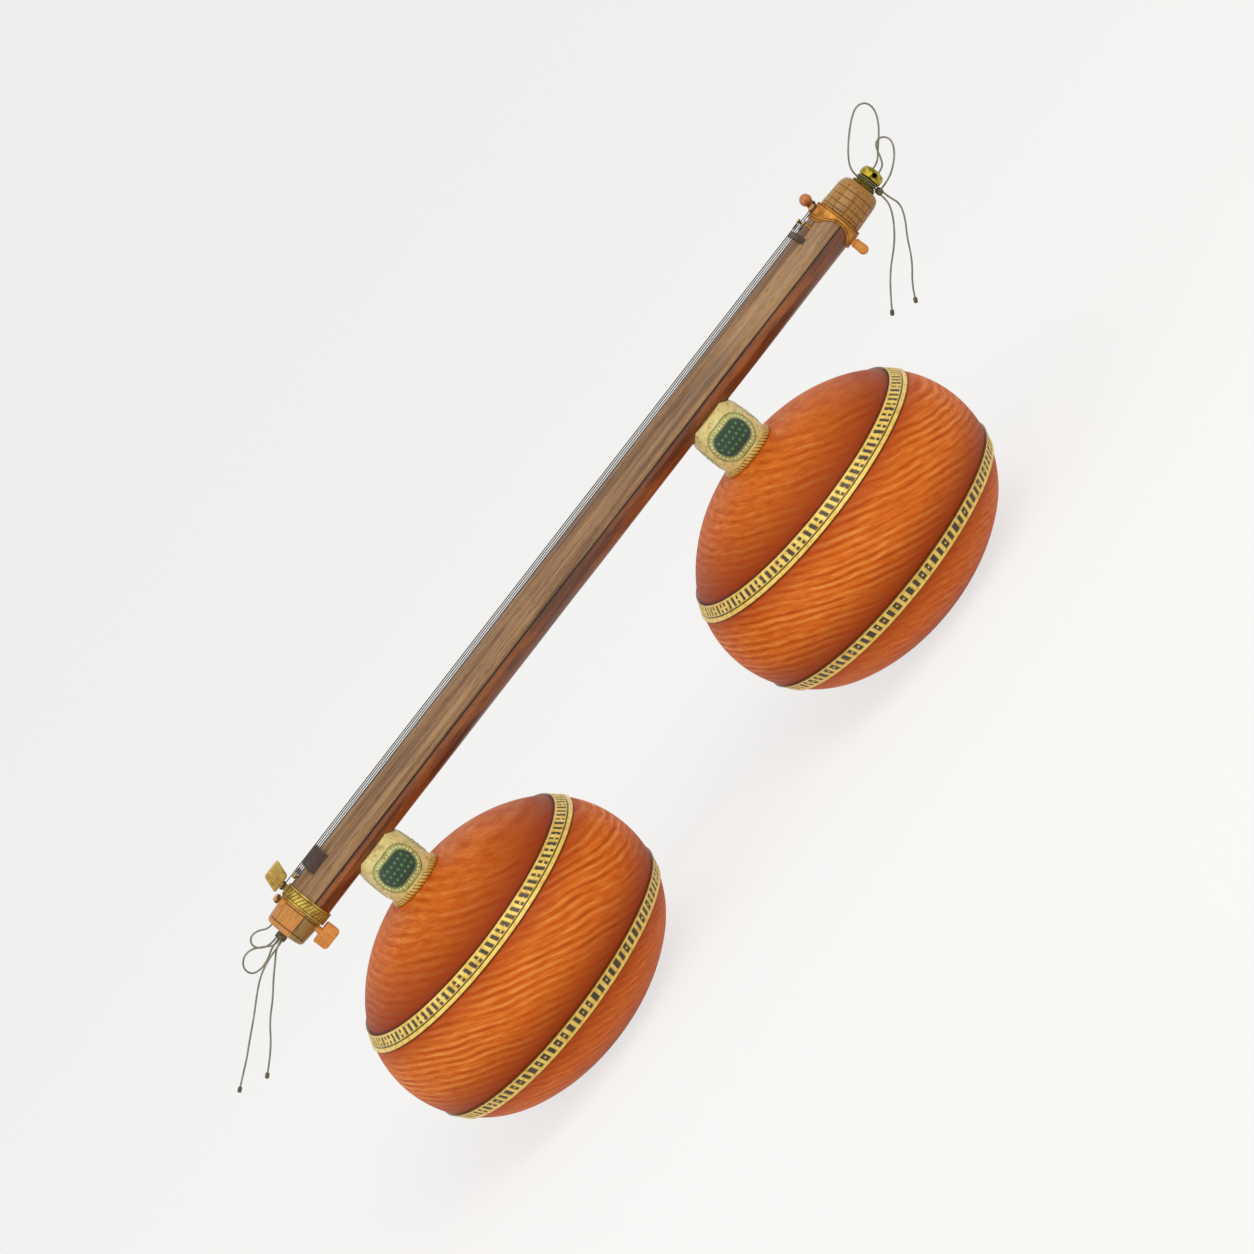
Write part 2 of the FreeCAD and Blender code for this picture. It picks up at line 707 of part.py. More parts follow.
def gourd_sketch(body, name, grow, crown_z, foot_z):
    """Half of a gourd's outline, grown outwards by a length: a belly arc that runs smoothly into a
    flatter arc to the crown and another to the foot."""
    sketch = new_sketch(body, name, "XZ_Plane")
    belly_r = size("gourd_belly_radius") + grow
    crown_r = size("gourd_crown_curve") + grow
    foot_r = size("gourd_foot_curve") + grow
    belly_x = size("gourd_radius") - size("gourd_belly_radius")
    belly_z = WAIST_Z
    crown_edge = CROWN_EDGE
    foot_edge = size("gourd_foot_radius")
    belly = FreeCAD.Vector(belly_x.value, belly_z.value, 0)
    crown_point = FreeCAD.Vector(crown_edge.value, crown_z.value, 0)
    foot_point = FreeCAD.Vector(foot_edge.value, foot_z.value, 0)
    crown = smooth_centre(belly, belly_r.value, crown_point, crown_r.value)
    foot = smooth_centre(belly, belly_r.value, foot_point, foot_r.value)
    up = FreeCAD.Vector(0, 0, 1)
    joint_low = angle_of(belly - foot)
    joint_high = angle_of(belly - crown)
    middle_low = FreeCAD.Vector(0, foot_z.value, 0)
    middle_high = FreeCAD.Vector(0, crown_z.value, 0)
    sketch.addGeometry(Part.LineSegment(middle_low, foot_point), False)
    arcs = (
        (foot, foot_r, angle_of(foot_point - foot), joint_low),
        (belly, belly_r, joint_low, joint_high),
        (crown, crown_r, joint_high, angle_of(crown_point - crown)),
    )
    for centre, radius, first, last in arcs:
        sketch.addGeometry(Part.ArcOfCircle(Part.Circle(centre, up, radius.value), first, last), False)
    sketch.addGeometry(Part.LineSegment(crown_point, middle_high), False)
    sketch.addGeometry(Part.LineSegment(middle_high, middle_low), False)
    for first, first_end, second, second_end in ((0, 2, 1, 1), (3, 2, 4, 1), (4, 2, 5, 1), (5, 2, 0, 1)):
        sketch.addConstraint(Sketcher.Constraint("Coincident", first, first_end, second, second_end))
    sketch.addConstraint(Sketcher.Constraint("Tangent", 1, 2, 2, 1))
    sketch.addConstraint(Sketcher.Constraint("Tangent", 2, 2, 3, 1))
    fix(sketch, 0, 1, ZERO, foot_z)
    fix(sketch, 0, 2, foot_edge, foot_z)
    fix(sketch, 2, 3, belly_x, belly_z)
    fix(sketch, 4, 1, crown_edge, crown_z)
    fix(sketch, 4, 2, ZERO, crown_z)
    for arc, radius in ((1, foot_r), (2, belly_r), (3, crown_r)):
        index = sketch.addConstraint(Sketcher.Constraint("Radius", arc, radius.value))
        bind(sketch, f"Constraints[{index}]", radius)
    return sketch


# Gourds: dried shells, with a mouth for the collar's spigot and a dimple where the blossom was
def make_gourd(which):
    body = new_body(which + "_gourd", x=GOURD_X[which])
    wall = size("gourd_wall")
    outer = gourd_sketch(body, "outer_profile", ZERO, GOURD_TOP, ZERO)
    revolve(body, "outside", outer, "V_Axis")
    floor = wall + size("dimple_depth")
    inner = gourd_sketch(body, "inner_profile", -wall, GOURD_TOP - wall, floor)
    revolve(body, "hollow", inner, "V_Axis", groove=True)
    mouth_r = size("spigot_radius") + size("gourd_mouth_gap")
    mouth = [(ZERO, GOURD_TOP), (mouth_r, GOURD_TOP), (mouth_r, GOURD_TOP - wall), (ZERO, GOURD_TOP - wall)]
    revolve(body, "mouth", outline(body, "mouth_profile", "XZ_Plane", mouth), "V_Axis", groove=True)
    deep = size("dimple_depth")
    edge = size("dimple_radius")
    drop = (edge * edge - deep * deep) / (deep * 2)
    dimple = [(ZERO, ZERO), (edge, ZERO, (ZERO, ZERO - drop, 1)), (ZERO, deep)]
    revolve(body, "dimple", outline(body, "dimple_profile", "XZ_Plane", dimple), "V_Axis", groove=True)


# Gilt bands: strips that lie on the gourd's skin between two heights
def make_band(which, level, middle):
    body = new_body(f"{which}_gourd_{level}_band", x=GOURD_X[which])
    outside = GLUE + size("band_thickness")
    outer = gourd_sketch(body, "outer_profile", outside, GOURD_TOP + outside, ZERO - outside)
    revolve(body, "outside", outer, "V_Axis")
    inner = gourd_sketch(body, "inner_profile", GLUE, GOURD_TOP + GLUE, ZERO - GLUE)
    revolve(body, "inside", inner, "V_Axis", groove=True)
    half = size("band_width") / 2
    beyond = size("gourd_radius") * 2
    above = [
        (ZERO - beyond, middle + half),
        (beyond, middle + half),
        (beyond, GOURD_TOP + beyond),
        (ZERO - beyond, GOURD_TOP + beyond),
    ]
    cut_through(body, "cut_above", outline(body, "above_outline", "XZ_Plane", above))
    below = [
        (ZERO - beyond, ZERO - beyond),
        (beyond, ZERO - beyond),
        (beyond, middle - half),
        (ZERO - beyond, middle - half),
    ]
    cut_through(body, "cut_below", outline(body, "below_outline", "XZ_Plane", below))


def make_collar(which):
    body = new_body(which + "_collar", x=GOURD_X[which])
    spigot_r = size("spigot_radius")
    corners = [
        (BOLT_HOLE_R, SPIGOT_BOTTOM),
        (spigot_r, SPIGOT_BOTTOM),
        (spigot_r, GOURD_TOP),
        (COLLAR_END_R, GOURD_TOP, (COLLAR_SIDE_X, COLLAR_MIDDLE, 1)),
        (COLLAR_END_R, COLLAR_SHOULDER),
        (size("collar_top_radius"), COLLAR_TOP),
        (BOLT_HOLE_R, COLLAR_TOP),
    ]
    revolve(body, "turning", outline(body, "profile", "XZ_Plane", corners), "V_Axis")
    saddle = [(ZERO, AXIS_Z, NECK_R + size("seat_gap"))]
    cut_through(body, "saddle", circles(body, "saddle_circle", "YZ_Plane", saddle))


def make_base_ring(which):
    """A gilt bead that lies on the gourd's crown round the collar's foot. It has a flat land above and
    below, and one arc between the lands bulges outwards to the ring's width."""
    body = new_body(which + "_collar_ring", x=GOURD_X[which])
    half = size("base_ring_height") / 2
    bulge = size("base_ring_width") - size("base_ring_land")
    curve = (half * half + bulge * bulge) / (bulge * 2)
    edge = BASE_RING_R + size("base_ring_land")
    corners = [
        (BASE_RING_R, GOURD_TOP),
        (edge, GOURD_TOP, (edge + bulge - curve, GOURD_TOP + half, 1)),
        (edge, GOURD_TOP + half * 2),
        (BASE_RING_R, GOURD_TOP + half * 2),
    ]
    revolve(body, "turning", outline(body, "profile", "XZ_Plane", corners), "V_Axis")


def make_lock_ring(which):
    """The wooden ring glued on the spigot inside the gourd, which grips the gourd's wall."""
    body = new_body(which + "_lock_ring", x=GOURD_X[which])
    inside = size("spigot_radius") + GLUE
    high = GOURD_TOP - size("gourd_wall")
    low = high - size("lock_ring_thickness")
    outside = size("lock_ring_radius")
    corners = [(inside, low), (outside, low), (outside, high), (inside, high)]
    revolve(body, "turning", outline(body, "profile", "XZ_Plane", corners), "V_Axis")


# Bolts: each runs from inside its gourd up through the collar and the trough into the neck
PAD_HALF = size("bolt_pad_width") / 2
PAD_BOTTOM = ZERO - side_of(BORE_R - GLUE, PAD_HALF)
PAD_TOP = PAD_BOTTOM + size("bolt_pad_thickness")
NUT_TOP = PAD_TOP + size("bolt_nut_thickness")


def make_bolt(which):
    body = new_body(which + "_bolt", x=GOURD_X[which])
    shank = size("bolt_radius")
    head = size("bolt_head_radius")
    low = SPIGOT_BOTTOM - size("bolt_head_thickness")
    top = AXIS_Z + NUT_TOP + size("bolt_end")
    corners = [
        (ZERO, low),
        (head, low),
        (head, SPIGOT_BOTTOM),
        (shank, SPIGOT_BOTTOM),
        (shank, top),
        (ZERO, top),
    ]
    revolve(body, "turning", outline(body, "profile", "XZ_Plane", corners), "V_Axis")


def make_bolt_pad(which):
    """The pad in the trough that gives the nut a flat seat on the round bore."""
    body = new_body(which + "_bolt_pad", x=GOURD_X[which], z=AXIS_Z)
    corners = [
        (-PAD_HALF, PAD_BOTTOM, (ZERO, ZERO, 1)),
        (PAD_HALF, PAD_BOTTOM),
        (PAD_HALF, PAD_TOP),
        (-PAD_HALF, PAD_TOP),
    ]
    section = outline(body, "section", "YZ_Plane", corners)
    pad(body, "block", section, size("bolt_pad_length"), both_ways=True)
    cut_through(body, "bolt_hole", circles(body, "bolt_hole_circle", "XY_Plane", [(ZERO, ZERO, BOLT_HOLE_R)]))


def make_bolt_nut(which):
    blank = doc.addObject("Part::Prism", which + "_nut_blank")
    blank.Polygon = 6
    bind(blank, "Circumradius", size("bolt_nut_radius"))
    bind(blank, "Height", size("bolt_nut_thickness"))
    put(blank, x=GOURD_X[which], z=AXIS_Z + PAD_TOP)
    hole = doc.addObject("Part::Cylinder", which + "_nut_hole")
    bind(hole, "Radius", size("bolt_radius") + GLUE)
    bind(hole, "Height", size("bolt_nut_thickness"))
    put(hole, x=GOURD_X[which], z=AXIS_Z + PAD_TOP)
    nut = doc.addObject("Part::Cut", which + "_bolt_nut")
    nut.Label = which + "_bolt_nut"
    nut.Base = blank
    nut.Tool = hole
    nodes[nut.Label] = nut


# Knots and lashing: what the gut cords come out of
LASHING_OUT = LASHING_R + CORD_R


def make_head_lashing():
    """Turns of gut wound into the knob's groove, from its underside and back to it."""
    centre = FreeCAD.Vector((HEAD_END + LASHING_START).value, 0, AXIS_Z.value)
    ahead = FreeCAD.Vector(1, 0, 0)
    down = FreeCAD.Vector(0, 0, -1)
    pitch = LASHING_PITCH.value
    arcs = turning_arcs(centre, ahead, down, LASHING_R.value, pitch, LASHING_TURNS, 1)
    wind("head_lashing", arcs, CORD_R.value, LASHING_R.value)


def make_knot(name, x, z, radius, length):
    """A knot as a short barrel along X with rounded edges; x is its end nearer the tail."""
    body = new_body(name, x=x, z=z)
    edge = radius / 5
    corners = [
        (ZERO, ZERO),
        (ZERO, radius - edge),
        (edge, radius),
        (length - edge, radius),
        (length, radius - edge),
        (length, ZERO),
    ]
    revolve(body, "turns", outline(body, "profile", "XZ_Plane", corners), "H_Axis")


HEAD_KNOT_Z = AXIS_Z - LASHING_OUT - size("lashing_gap") - size("head_knot_radius")
HEAD_KNOT_X = HEAD_END + size("knob_flange_thickness") + size("lashing_gap") * 2

# Cords: where each one starts and, for a loop, ends, as (outwards from the block's end, sideways, up
# from the neck's axis), and its route, as points measured from its start
KNOB_TIP = size("knob_length")
HEAD_KNOT_UP = HEAD_KNOT_Z - AXIS_Z
HEAD_KNOT_UNDER = HEAD_KNOT_UP - size("head_knot_radius")
HEAD_KNOT_OUT = HEAD_KNOT_X - HEAD_END
TAIL_KNOT_OUT = size("tail_knot_length")
HEAD_CORDS = {
    "head_long_loop": (
        (LASHING_START + LASHING_PITCH / 2, 0.0, LASHING_OUT), (KNOB_TIP, 0.0, 3.0), [
            (0.0, 0.0, 0.0), (0.0, 0.0, 6.6), (6.8, 0.0, 16.0), (20.8, 0.2, 27.0), (37.8, 0.5, 37.0),
            (49.8, 0.7, 40.5), (57.8, 0.8, 35.0), (57.8, 0.8, 25.0), (50.8, 0.6, 14.5), (40.8, 0.4, 6.0),
            (29.8, 0.2, -1.5), (20.8, 0.0, -8.6), (13.8, 0.0, -8.6)]),
    "head_short_loop": (
        (KNOB_TIP, -2.6, -3.0), (HEAD_KNOT_OUT + size("head_knot_length"), 0.0, HEAD_KNOT_UP), [
            (0.0, 0.0, 0.0), (6.5, 0.0, 0.0), (12.0, -0.5, 6.5), (15.5, -0.7, 14.5), (20.5, -0.7, 20.0),
            (27.5, -0.4, 19.0), (31.5, 0.0, 12.5), (29.5, 0.5, 5.0), (22.5, 1.1, -2.5),
            (12.5, 1.7, -8.5), (1.5, 2.6, -12.5), (-8.7, 2.6, -12.5)]),
    "head_outer_end": (
        (HEAD_KNOT_OUT + size("head_knot_length") - 1.8, 0.0, HEAD_KNOT_UNDER), None, [
            (0.0, 0.0, 0.0), (0.0, 0.0, -7.0), (2.0, 0.8, -18.7), (-5.5, 1.6, -31.2), (-18.0, 2.0, -43.7),
            (-32.5, 2.6, -62.2), (-49.0, 2.2, -74.7), (-56.9, 1.8, -84.5)]),
    "head_inner_end": (
        (HEAD_KNOT_OUT + 1.8, 0.0, HEAD_KNOT_UNDER), None, [
            (0.0, 0.0, 0.0), (0.0, 0.0, -6.6), (-4.6, -0.8, -16.2), (-15.1, -1.6, -27.7),
            (-29.1, -2.2, -38.7), (-46.6, -2.4, -48.2), (-63.1, -2.0, -61.2), (-76.1, -1.6, -73.8)]),
}
TAIL_CORDS = {
    "tail_short_loop": (
        (0.0, 0.0, 14.0), (TAIL_KNOT_OUT, 0.0, 3.2), [
            (0.0, 0.0, 0.0), (5.5, 0.0, 0.0), (12.0, 0.0, 6.5), (20.0, 0.0, 9.0), (26.5, 0.0, 4.5),
            (26.0, 0.0, -3.5), (17.5, 0.0, -10.8), (8.0, 0.0, -10.8)]),
    "tail_long_loop": (
        (TAIL_KNOT_OUT, -3.0, 0.0), (TAIL_KNOT_OUT, 3.0, 0.0), [
            (0.0, 0.0, 0.0), (6.0, 0.0, 0.0), (13.5, -0.6, 8.5), (22.0, -0.4, 16.0), (32.0, 0.0, 17.0),
            (40.5, 0.6, 10.5), (40.5, 1.4, 0.5), (31.5, 2.6, -4.0), (20.0, 4.2, -3.5), (9.5, 6.0, 0.0),
            (0.0, 6.0, 0.0)]),
    "tail_inner_end": (
        (TAIL_KNOT_OUT, 1.5, -3.0), None, [
            (0.0, 0.0, 0.0), (7.0, 0.0, 0.0), (17.5, 1.0, -7.3), (32.0, 0.5, -16.3), (47.0, -0.5, -27.3),
            (64.0, -1.5, -36.8), (80.0, -1.0, -50.8), (94.0, -0.5, -60.3), (104.2, 0.0, -66.1)]),
    "tail_outer_end": (
        (TAIL_KNOT_OUT, -1.5, -3.0), None, [
            (0.0, 0.0, 0.0), (8.0, 0.0, 0.0), (19.5, -1.1, -0.4), (35.5, -0.9, -3.5), (52.0, -0.5, -11.8),
            (69.5, -0.9, -22.3), (88.0, -1.5, -31.8), (105.0, -1.9, -41.3), (119.0, -1.7, -47.8),
            (129.2, -1.5, -52.8)]),
}
BEND_SHARE = 0.45


def cord_path(points):
    """Straight runs joined by arcs as large as the two runs allow. Returns the wire and the radii."""
    edges = []
    radii = []
    last = points[0]
    for before, corner, after in zip(points, points[1:], points[2:]):
        back = (before - corner).normalize()
        ahead = (after - corner).normalize()
        half_turn = (math.pi - back.getAngle(ahead)) / 2
        reach = BEND_SHARE * min(before.distanceToPoint(corner), after.distanceToPoint(corner))
        radius = reach / math.tan(half_turn)
        start = corner + back * reach
        end = corner + ahead * reach
        inward = (back + ahead).normalize()
        middle = corner + inward * (radius / math.cos(half_turn) - radius)
        edges.append(Part.LineSegment(last, start).toShape())
        edges.append(Part.Arc(start, middle, end).toShape())
        radii.append(radius)
        last = end
    edges.append(Part.LineSegment(last, points[-1]).toShape())
    return Part.Wire(edges), radii


def corners_of(start, end, route):
    """The route's points from its start; a loop's points shift evenly so that it ends at its end."""
    first = FreeCAD.Vector(*[as_size(length).value for length in start])
    points = [first + FreeCAD.Vector(*step) for step in route]
    if end is not None:
        last = FreeCAD.Vector(*[as_size(length).value for length in end])
        shift = last - points[-1]
        middle = len(points) - 3
        shares = [min(max(number - 1, 0), middle) / middle for number in range(len(points))]
        points = [point + shift * share for point, share in zip(points, shares)]
    return points


def make_cord(name, end_x, outward, start, end, route):
    """A round tube along a route. outward is +1 at the head and -1 at the tail."""
    points = [
        FreeCAD.Vector(end_x + outward * point.x, point.y, AXIS_Z.value + point.z)
        for point in corners_of(start, end, route)
    ]
    path, radii = cord_path(points)
    cord_r = CORD_R.value
    circle = Part.Circle(points[0], points[1] - points[0], cord_r)
    section = Part.Wire([circle.toShape()])
    tube = path.makePipeShell([section], True, False)
    cord = doc.addObject("Part::Feature", name)
    cord.Label = name
    cord.Shape = tube
    nodes[name] = cord
    expected = math.pi * cord_r ** 2 * path.Length
    print(f"{name}: length {path.Length:.1f} mm, tightest bend {min(radii):.1f} mm, "
          f"volume {tube.Volume / expected:.3f} of section times length")
    print("    from the block's end:", [(round((point.x - end_x) * outward, 1), round(point.y, 1),
                                          round(point.z - AXIS_Z.value, 1)) for point in points])
    return points


def make_end_knot(name, points):
    """A small barrel knot that carries on from a cord's end."""
    ahead = (points[-1] - points[-2]).normalize()
    radius = size("end_knot_radius").value
    length = size("end_knot_length").value
    barrel = Part.makeCylinder(radius, length, points[-1], ahead)
    knot = doc.addObject("Part::Feature", name)
    knot.Label = name
    knot.Shape = barrel.makeFillet(radius * 0.4, [edge for edge in barrel.Edges if edge.Closed][:2])
    nodes[name] = knot


make_neck_trough()
make_neck_cover()
make_end_block("tail_block", -1, TUBE_TAIL, size("tail_block_length"), size("tail_block_round"),
               size("tail_tenon_length"), ("tail_upper", "tail_lower"))
make_end_block("head_block", 1, TUBE_HEAD, size("head_block_length"), size("head_block_round"),
               size("head_tenon_length"), ("head_upper", "head_lower"),
               socket=(size("knob_tang_radius") + GLUE, size("knob_tang_length") + GLUE))
make_ferrule("tail_ferrule", -1, TUBE_TAIL, size("tail_ferrule_width"), ("tail_upper",))
make_ferrule("head_ferrule", 1, TUBE_HEAD, size("head_ferrule_width"), ("head_upper", "head_lower"),
             waist=size("head_ferrule_waist"))
make_head_knob()
for peg in PEGS:
    make_peg(peg, 1 if peg.endswith("upper") else -1)
    make_winding(peg)
for string in STRINGS:
    make_string(string)
make_hitch_pin("first_hitch_pin", HITCH_TAIL_X, INNER_STRING_Y)
make_hitch_pin("second_hitch_pin", HITCH_TAIL_X, -INNER_STRING_Y)
make_hitch_pin("third_hitch_pin", HITCH_HEAD_X, OUTER_STRING_Y)
make_hitch_pin("fourth_hitch_pin", HITCH_HEAD_X, -OUTER_STRING_Y)
make_saddle("bridge", TUBE_TAIL + size("bridge_inset"), size("bridge_length"), notched=False)
make_saddle("nut", TUBE_HEAD - size("nut_inset") - size("nut_length"), size("nut_length"), notched=True)
for gourd in GOURD_X:
    make_gourd(gourd)
    make_band(gourd, "upper", WAIST_Z + size("upper_band_rise"))
    make_band(gourd, "lower", WAIST_Z - size("lower_band_drop"))
    make_collar(gourd)
    make_base_ring(gourd)
    make_lock_ring(gourd)
    make_bolt(gourd)
    make_bolt_pad(gourd)
    make_bolt_nut(gourd)
make_head_lashing()
make_knot("head_knot", HEAD_KNOT_X, HEAD_KNOT_Z, size("head_knot_radius"), size("head_knot_length"))
make_knot("tail_knot", TAIL_END - size("tail_knot_length"), AXIS_Z, size("tail_knot_radius"),
          size("tail_knot_length"))
for cord_name, cord_route in HEAD_CORDS.items():
    line = make_cord(cord_name, HEAD_END.value, 1, *cord_route)
    if cord_name.endswith("_end"):
        make_end_knot(cord_name + "_knot", line)
for cord_name, cord_route in TAIL_CORDS.items():
    line = make_cord(cord_name, TAIL_END.value, -1, *cord_route)
    if cord_name.endswith("_end"):
        make_end_knot(cord_name + "_knot", line)
doc.recompute()

for thing in doc.Objects:
    for trouble in ("Invalid", "Error"):
        if trouble in thing.State:
            raise RuntimeError(f"{thing.Label} is {trouble}")
for name, thing in nodes.items():
    if thing.Shape.isNull() or not thing.Shape.isValid() or not thing.Shape.Solids:
        raise RuntimeError(f"{name} has no valid solid")
for name, thing in nodes.items():
    thing.Shape.exportStep(f"parts/{name}.step")
print(f"{len(nodes)} sub-parts written")
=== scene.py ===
import math

import bpy
import numpy as np
from mathutils import Matrix, Vector


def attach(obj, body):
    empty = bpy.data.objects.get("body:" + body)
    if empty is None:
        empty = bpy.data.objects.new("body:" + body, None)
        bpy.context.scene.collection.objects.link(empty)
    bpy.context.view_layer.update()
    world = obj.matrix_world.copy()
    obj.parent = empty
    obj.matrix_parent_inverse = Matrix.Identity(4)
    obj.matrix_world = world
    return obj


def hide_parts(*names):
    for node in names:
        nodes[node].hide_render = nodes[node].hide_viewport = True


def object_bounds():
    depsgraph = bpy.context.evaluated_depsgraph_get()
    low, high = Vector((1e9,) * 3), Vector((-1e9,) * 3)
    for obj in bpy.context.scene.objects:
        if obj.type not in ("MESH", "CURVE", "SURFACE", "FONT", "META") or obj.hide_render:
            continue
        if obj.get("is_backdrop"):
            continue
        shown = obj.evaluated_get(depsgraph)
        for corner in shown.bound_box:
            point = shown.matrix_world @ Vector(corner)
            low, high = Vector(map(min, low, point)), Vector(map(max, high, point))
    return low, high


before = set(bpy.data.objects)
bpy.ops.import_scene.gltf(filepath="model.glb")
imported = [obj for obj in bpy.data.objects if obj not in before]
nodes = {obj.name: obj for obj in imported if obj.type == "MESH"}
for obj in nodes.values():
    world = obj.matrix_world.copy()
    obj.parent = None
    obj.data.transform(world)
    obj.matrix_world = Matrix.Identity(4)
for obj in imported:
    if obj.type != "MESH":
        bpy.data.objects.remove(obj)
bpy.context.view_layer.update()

# A fretless tanpura: a hollow stick on two lacquered gourds. +X runs along the stick to the head, +Z is up.


# Camera: it looks along +Y and 13 degrees down, from 5.8 m away, and is rolled so that the stick climbs to
# the upper right with its gourds below it.
def put(name, data):
    """A new object for a mesh, curve, lamp or camera, in the scene."""
    thing = bpy.data.objects.new(name, data)
    bpy.context.scene.collection.objects.link(thing)
    return thing


look = math.radians(13.0)
roll_across, roll_along = 0.613, 0.790
view_up = Vector((0.0, math.sin(look), math.cos(look)))
ahead = Vector((0.0, math.cos(look), -math.sin(look)))
along_stick = Vector((1.0, 0.0, 0.0))
right = roll_across * along_stick - roll_along * view_up
up = roll_along * along_stick + roll_across * view_up
lens = bpy.data.cameras.new("camera")
lens.lens = 180.0
lens.sensor_width = 36.0
lens.clip_end = 120.0
camera = put("camera", lens)
camera.matrix_world = (
    Matrix.Translation(Vector((-0.004, 0.0, 0.221)) - ahead * 5.8)
    @ Matrix((right, up, -ahead)).transposed().to_4x4())
bpy.context.scene.camera = camera


# Floor and light: a pale matt floor that keeps the shadow, a white room seen by the camera and by gloss,
# and two large soft lamps.
def linear(code):
    """An sRGB hex code as linear red, green and blue, with alpha 1: below 0.04045 a channel is divided by
    12.92, above it the channel plus 0.055 is divided by 1.055 and raised to 2.4."""
    channels = [int(code[place:place + 2], 16) / 255.0 for place in (1, 3, 5)]
    return [c / 12.92 if c <= 0.04045 else ((c + 0.055) / 1.055) ** 2.4 for c in channels] + [1.0]


def add(tree, kind, inputs=(), stops=(), **settings):
    """Add a shader node with its settings, and give its first live output. Inputs pairs each socket's name
    or number with a value or an output. Stops are a ramp's places from 0 to 1, each with a hex code."""
    node = tree.nodes.new("ShaderNode" + kind)
    for name, value in settings.items():
        setattr(node, name, value)
    for name, value in dict(inputs).items():
        if isinstance(value, bpy.types.NodeSocket):
            tree.links.new(value, node.inputs[name])
        else:
            node.inputs[name].default_value = value
    if stops:
        elements = node.color_ramp.elements
        while len(elements) < len(stops):
            elements.new(0.5)
        for element, (place, code) in zip(elements, stops):
            element.position = place
            element.color = linear(code)
    return next((output for output in node.outputs if output.enabled), None)


def seen_directly(tree):
    """1 for what the camera sees, straight or in gloss and glass, and 0 for what lights the object."""
    rays = add(tree, "LightPath").node.outputs
    gloss = add(tree, "Math", {0: rays["Is Camera Ray"], 1: rays["Is Glossy Ray"]}, operation="MAXIMUM")
    return add(tree, "Math", {0: gloss, 1: rays["Is Transmission Ray"]}, operation="MAXIMUM")


world = bpy.data.worlds.new("white_room")
bpy.context.scene.world = world
world.use_nodes = True
room = world.node_tree
room.nodes.clear()
lit = add(room, "Background", {"Color": linear("#FFFDF8"), "Strength": 0.52})
shown = add(room, "Background", {"Color": linear("#FFFFFF"), "Strength": 1.0})
choice = add(room, "MixShader", {0: seen_directly(room), 1: lit, 2: shown})
add(room, "OutputWorld", {"Surface": choice})

floor_mesh = bpy.data.meshes.new("floor")
floor_mesh.from_pydata([(-40, -40, 0), (40, -40, 0), (40, 40, 0), (-40, 40, 0)], [], [(0, 1, 2, 3)])
pale = bpy.data.materials.new("pale_matt_floor")
pale.use_nodes = True
ground = pale.node_tree
ground.nodes.clear()
matt = add(ground, "BsdfDiffuse", {"Color": linear("#F4F3F0"), "Roughness": 0.5})
glow = add(ground, "Emission", {"Color": linear("#FFFFFF"), "Strength": 1.0})
half = add(ground, "Math", {0: seen_directly(ground), 1: 0.72}, operation="MULTIPLY")
both = add(ground, "MixShader", {0: half, 1: matt, 2: glow})
add(ground, "OutputMaterial", {"Surface": both})
floor_mesh.materials.append(pale)
put("floor", floor_mesh)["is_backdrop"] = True


def lamp(name, place, width, power, code):
    """A square soft lamp of this width that faces the middle of the object."""
    light = bpy.data.lights.new(name, "AREA")
    light.shape = "SQUARE"
    light.size = width
    light.energy = power
    light.color = linear(code)[:3]
    piece = put(name, light)
    piece.location = place
    aim = Vector((0.0, 0.0, 0.18)) - Vector(place)
    piece.rotation_euler = aim.to_track_quat("-Z", "Y").to_euler()


lamp("key", (0.9, -1.9, 2.2), 1.6, 26.0, "#FFF9F0")
lamp("fill", (-2.2, -1.2, 1.2), 2.0, 13.0, "#F6FAFF")
bpy.context.scene.view_settings.view_transform = "Standard"


# Cords: springy lengths of twisted gut, 1.8 mm thick, left over where the stick's two ends are bound. Each
# keeps the curve that it was wound to. They come out of the knob, its lashing and the knots at both ends.
HEAD_END = 0.450
TAIL_END = -0.421
AXIS_Z = 0.300
GUT_R = 0.0009


def new_finish(name, **constants):
    """A material with one Principled shader. Constants are set on the shader's own sockets, by their names
    with _ for each space."""
    finish = bpy.data.materials.new(name)
    finish.use_nodes = True
    tree = finish.node_tree
    tree.nodes.clear()
    shader = add(tree, "BsdfPrincipled", {word.replace("_", " "): value for word, value in constants.items()})
    add(tree, "OutputMaterial", {"Surface": shader})
    return finish, tree, shader.node


def speckle(tree, repeats, detail=3.0, rough=0.55, twist=0.0, vector=None):
    """Noise between 0 and 1 on Object coordinates, or on another vector, with so many repeats for each metre
    along X, Y and Z, or one number for all three."""
    if vector is None:
        vector = add(tree, "TexCoord").node.outputs["Object"]
    place = add(tree, "Mapping", {"Vector": vector, "Scale": np.broadcast_to(repeats, 3).tolist()})
    return add(tree, "TexNoise", {"Vector": place, "Scale": 1.0, "Detail": detail, "Roughness": rough,
                                  "Distortion": twist})


def finish_off(tree, shader, colour, height, depth, rough=None):
    """Give the shader its colour, a bump of a height in metres, and where given a roughness pattern."""
    tree.links.new(colour, shader.inputs["Base Color"])
    bump = add(tree, "Bump", {"Height": height, "Distance": depth, "Strength": 1.0})
    tree.links.new(bump, shader.inputs["Normal"])
    if rough is not None:
        tree.links.new(rough, shader.inputs["Roughness"])


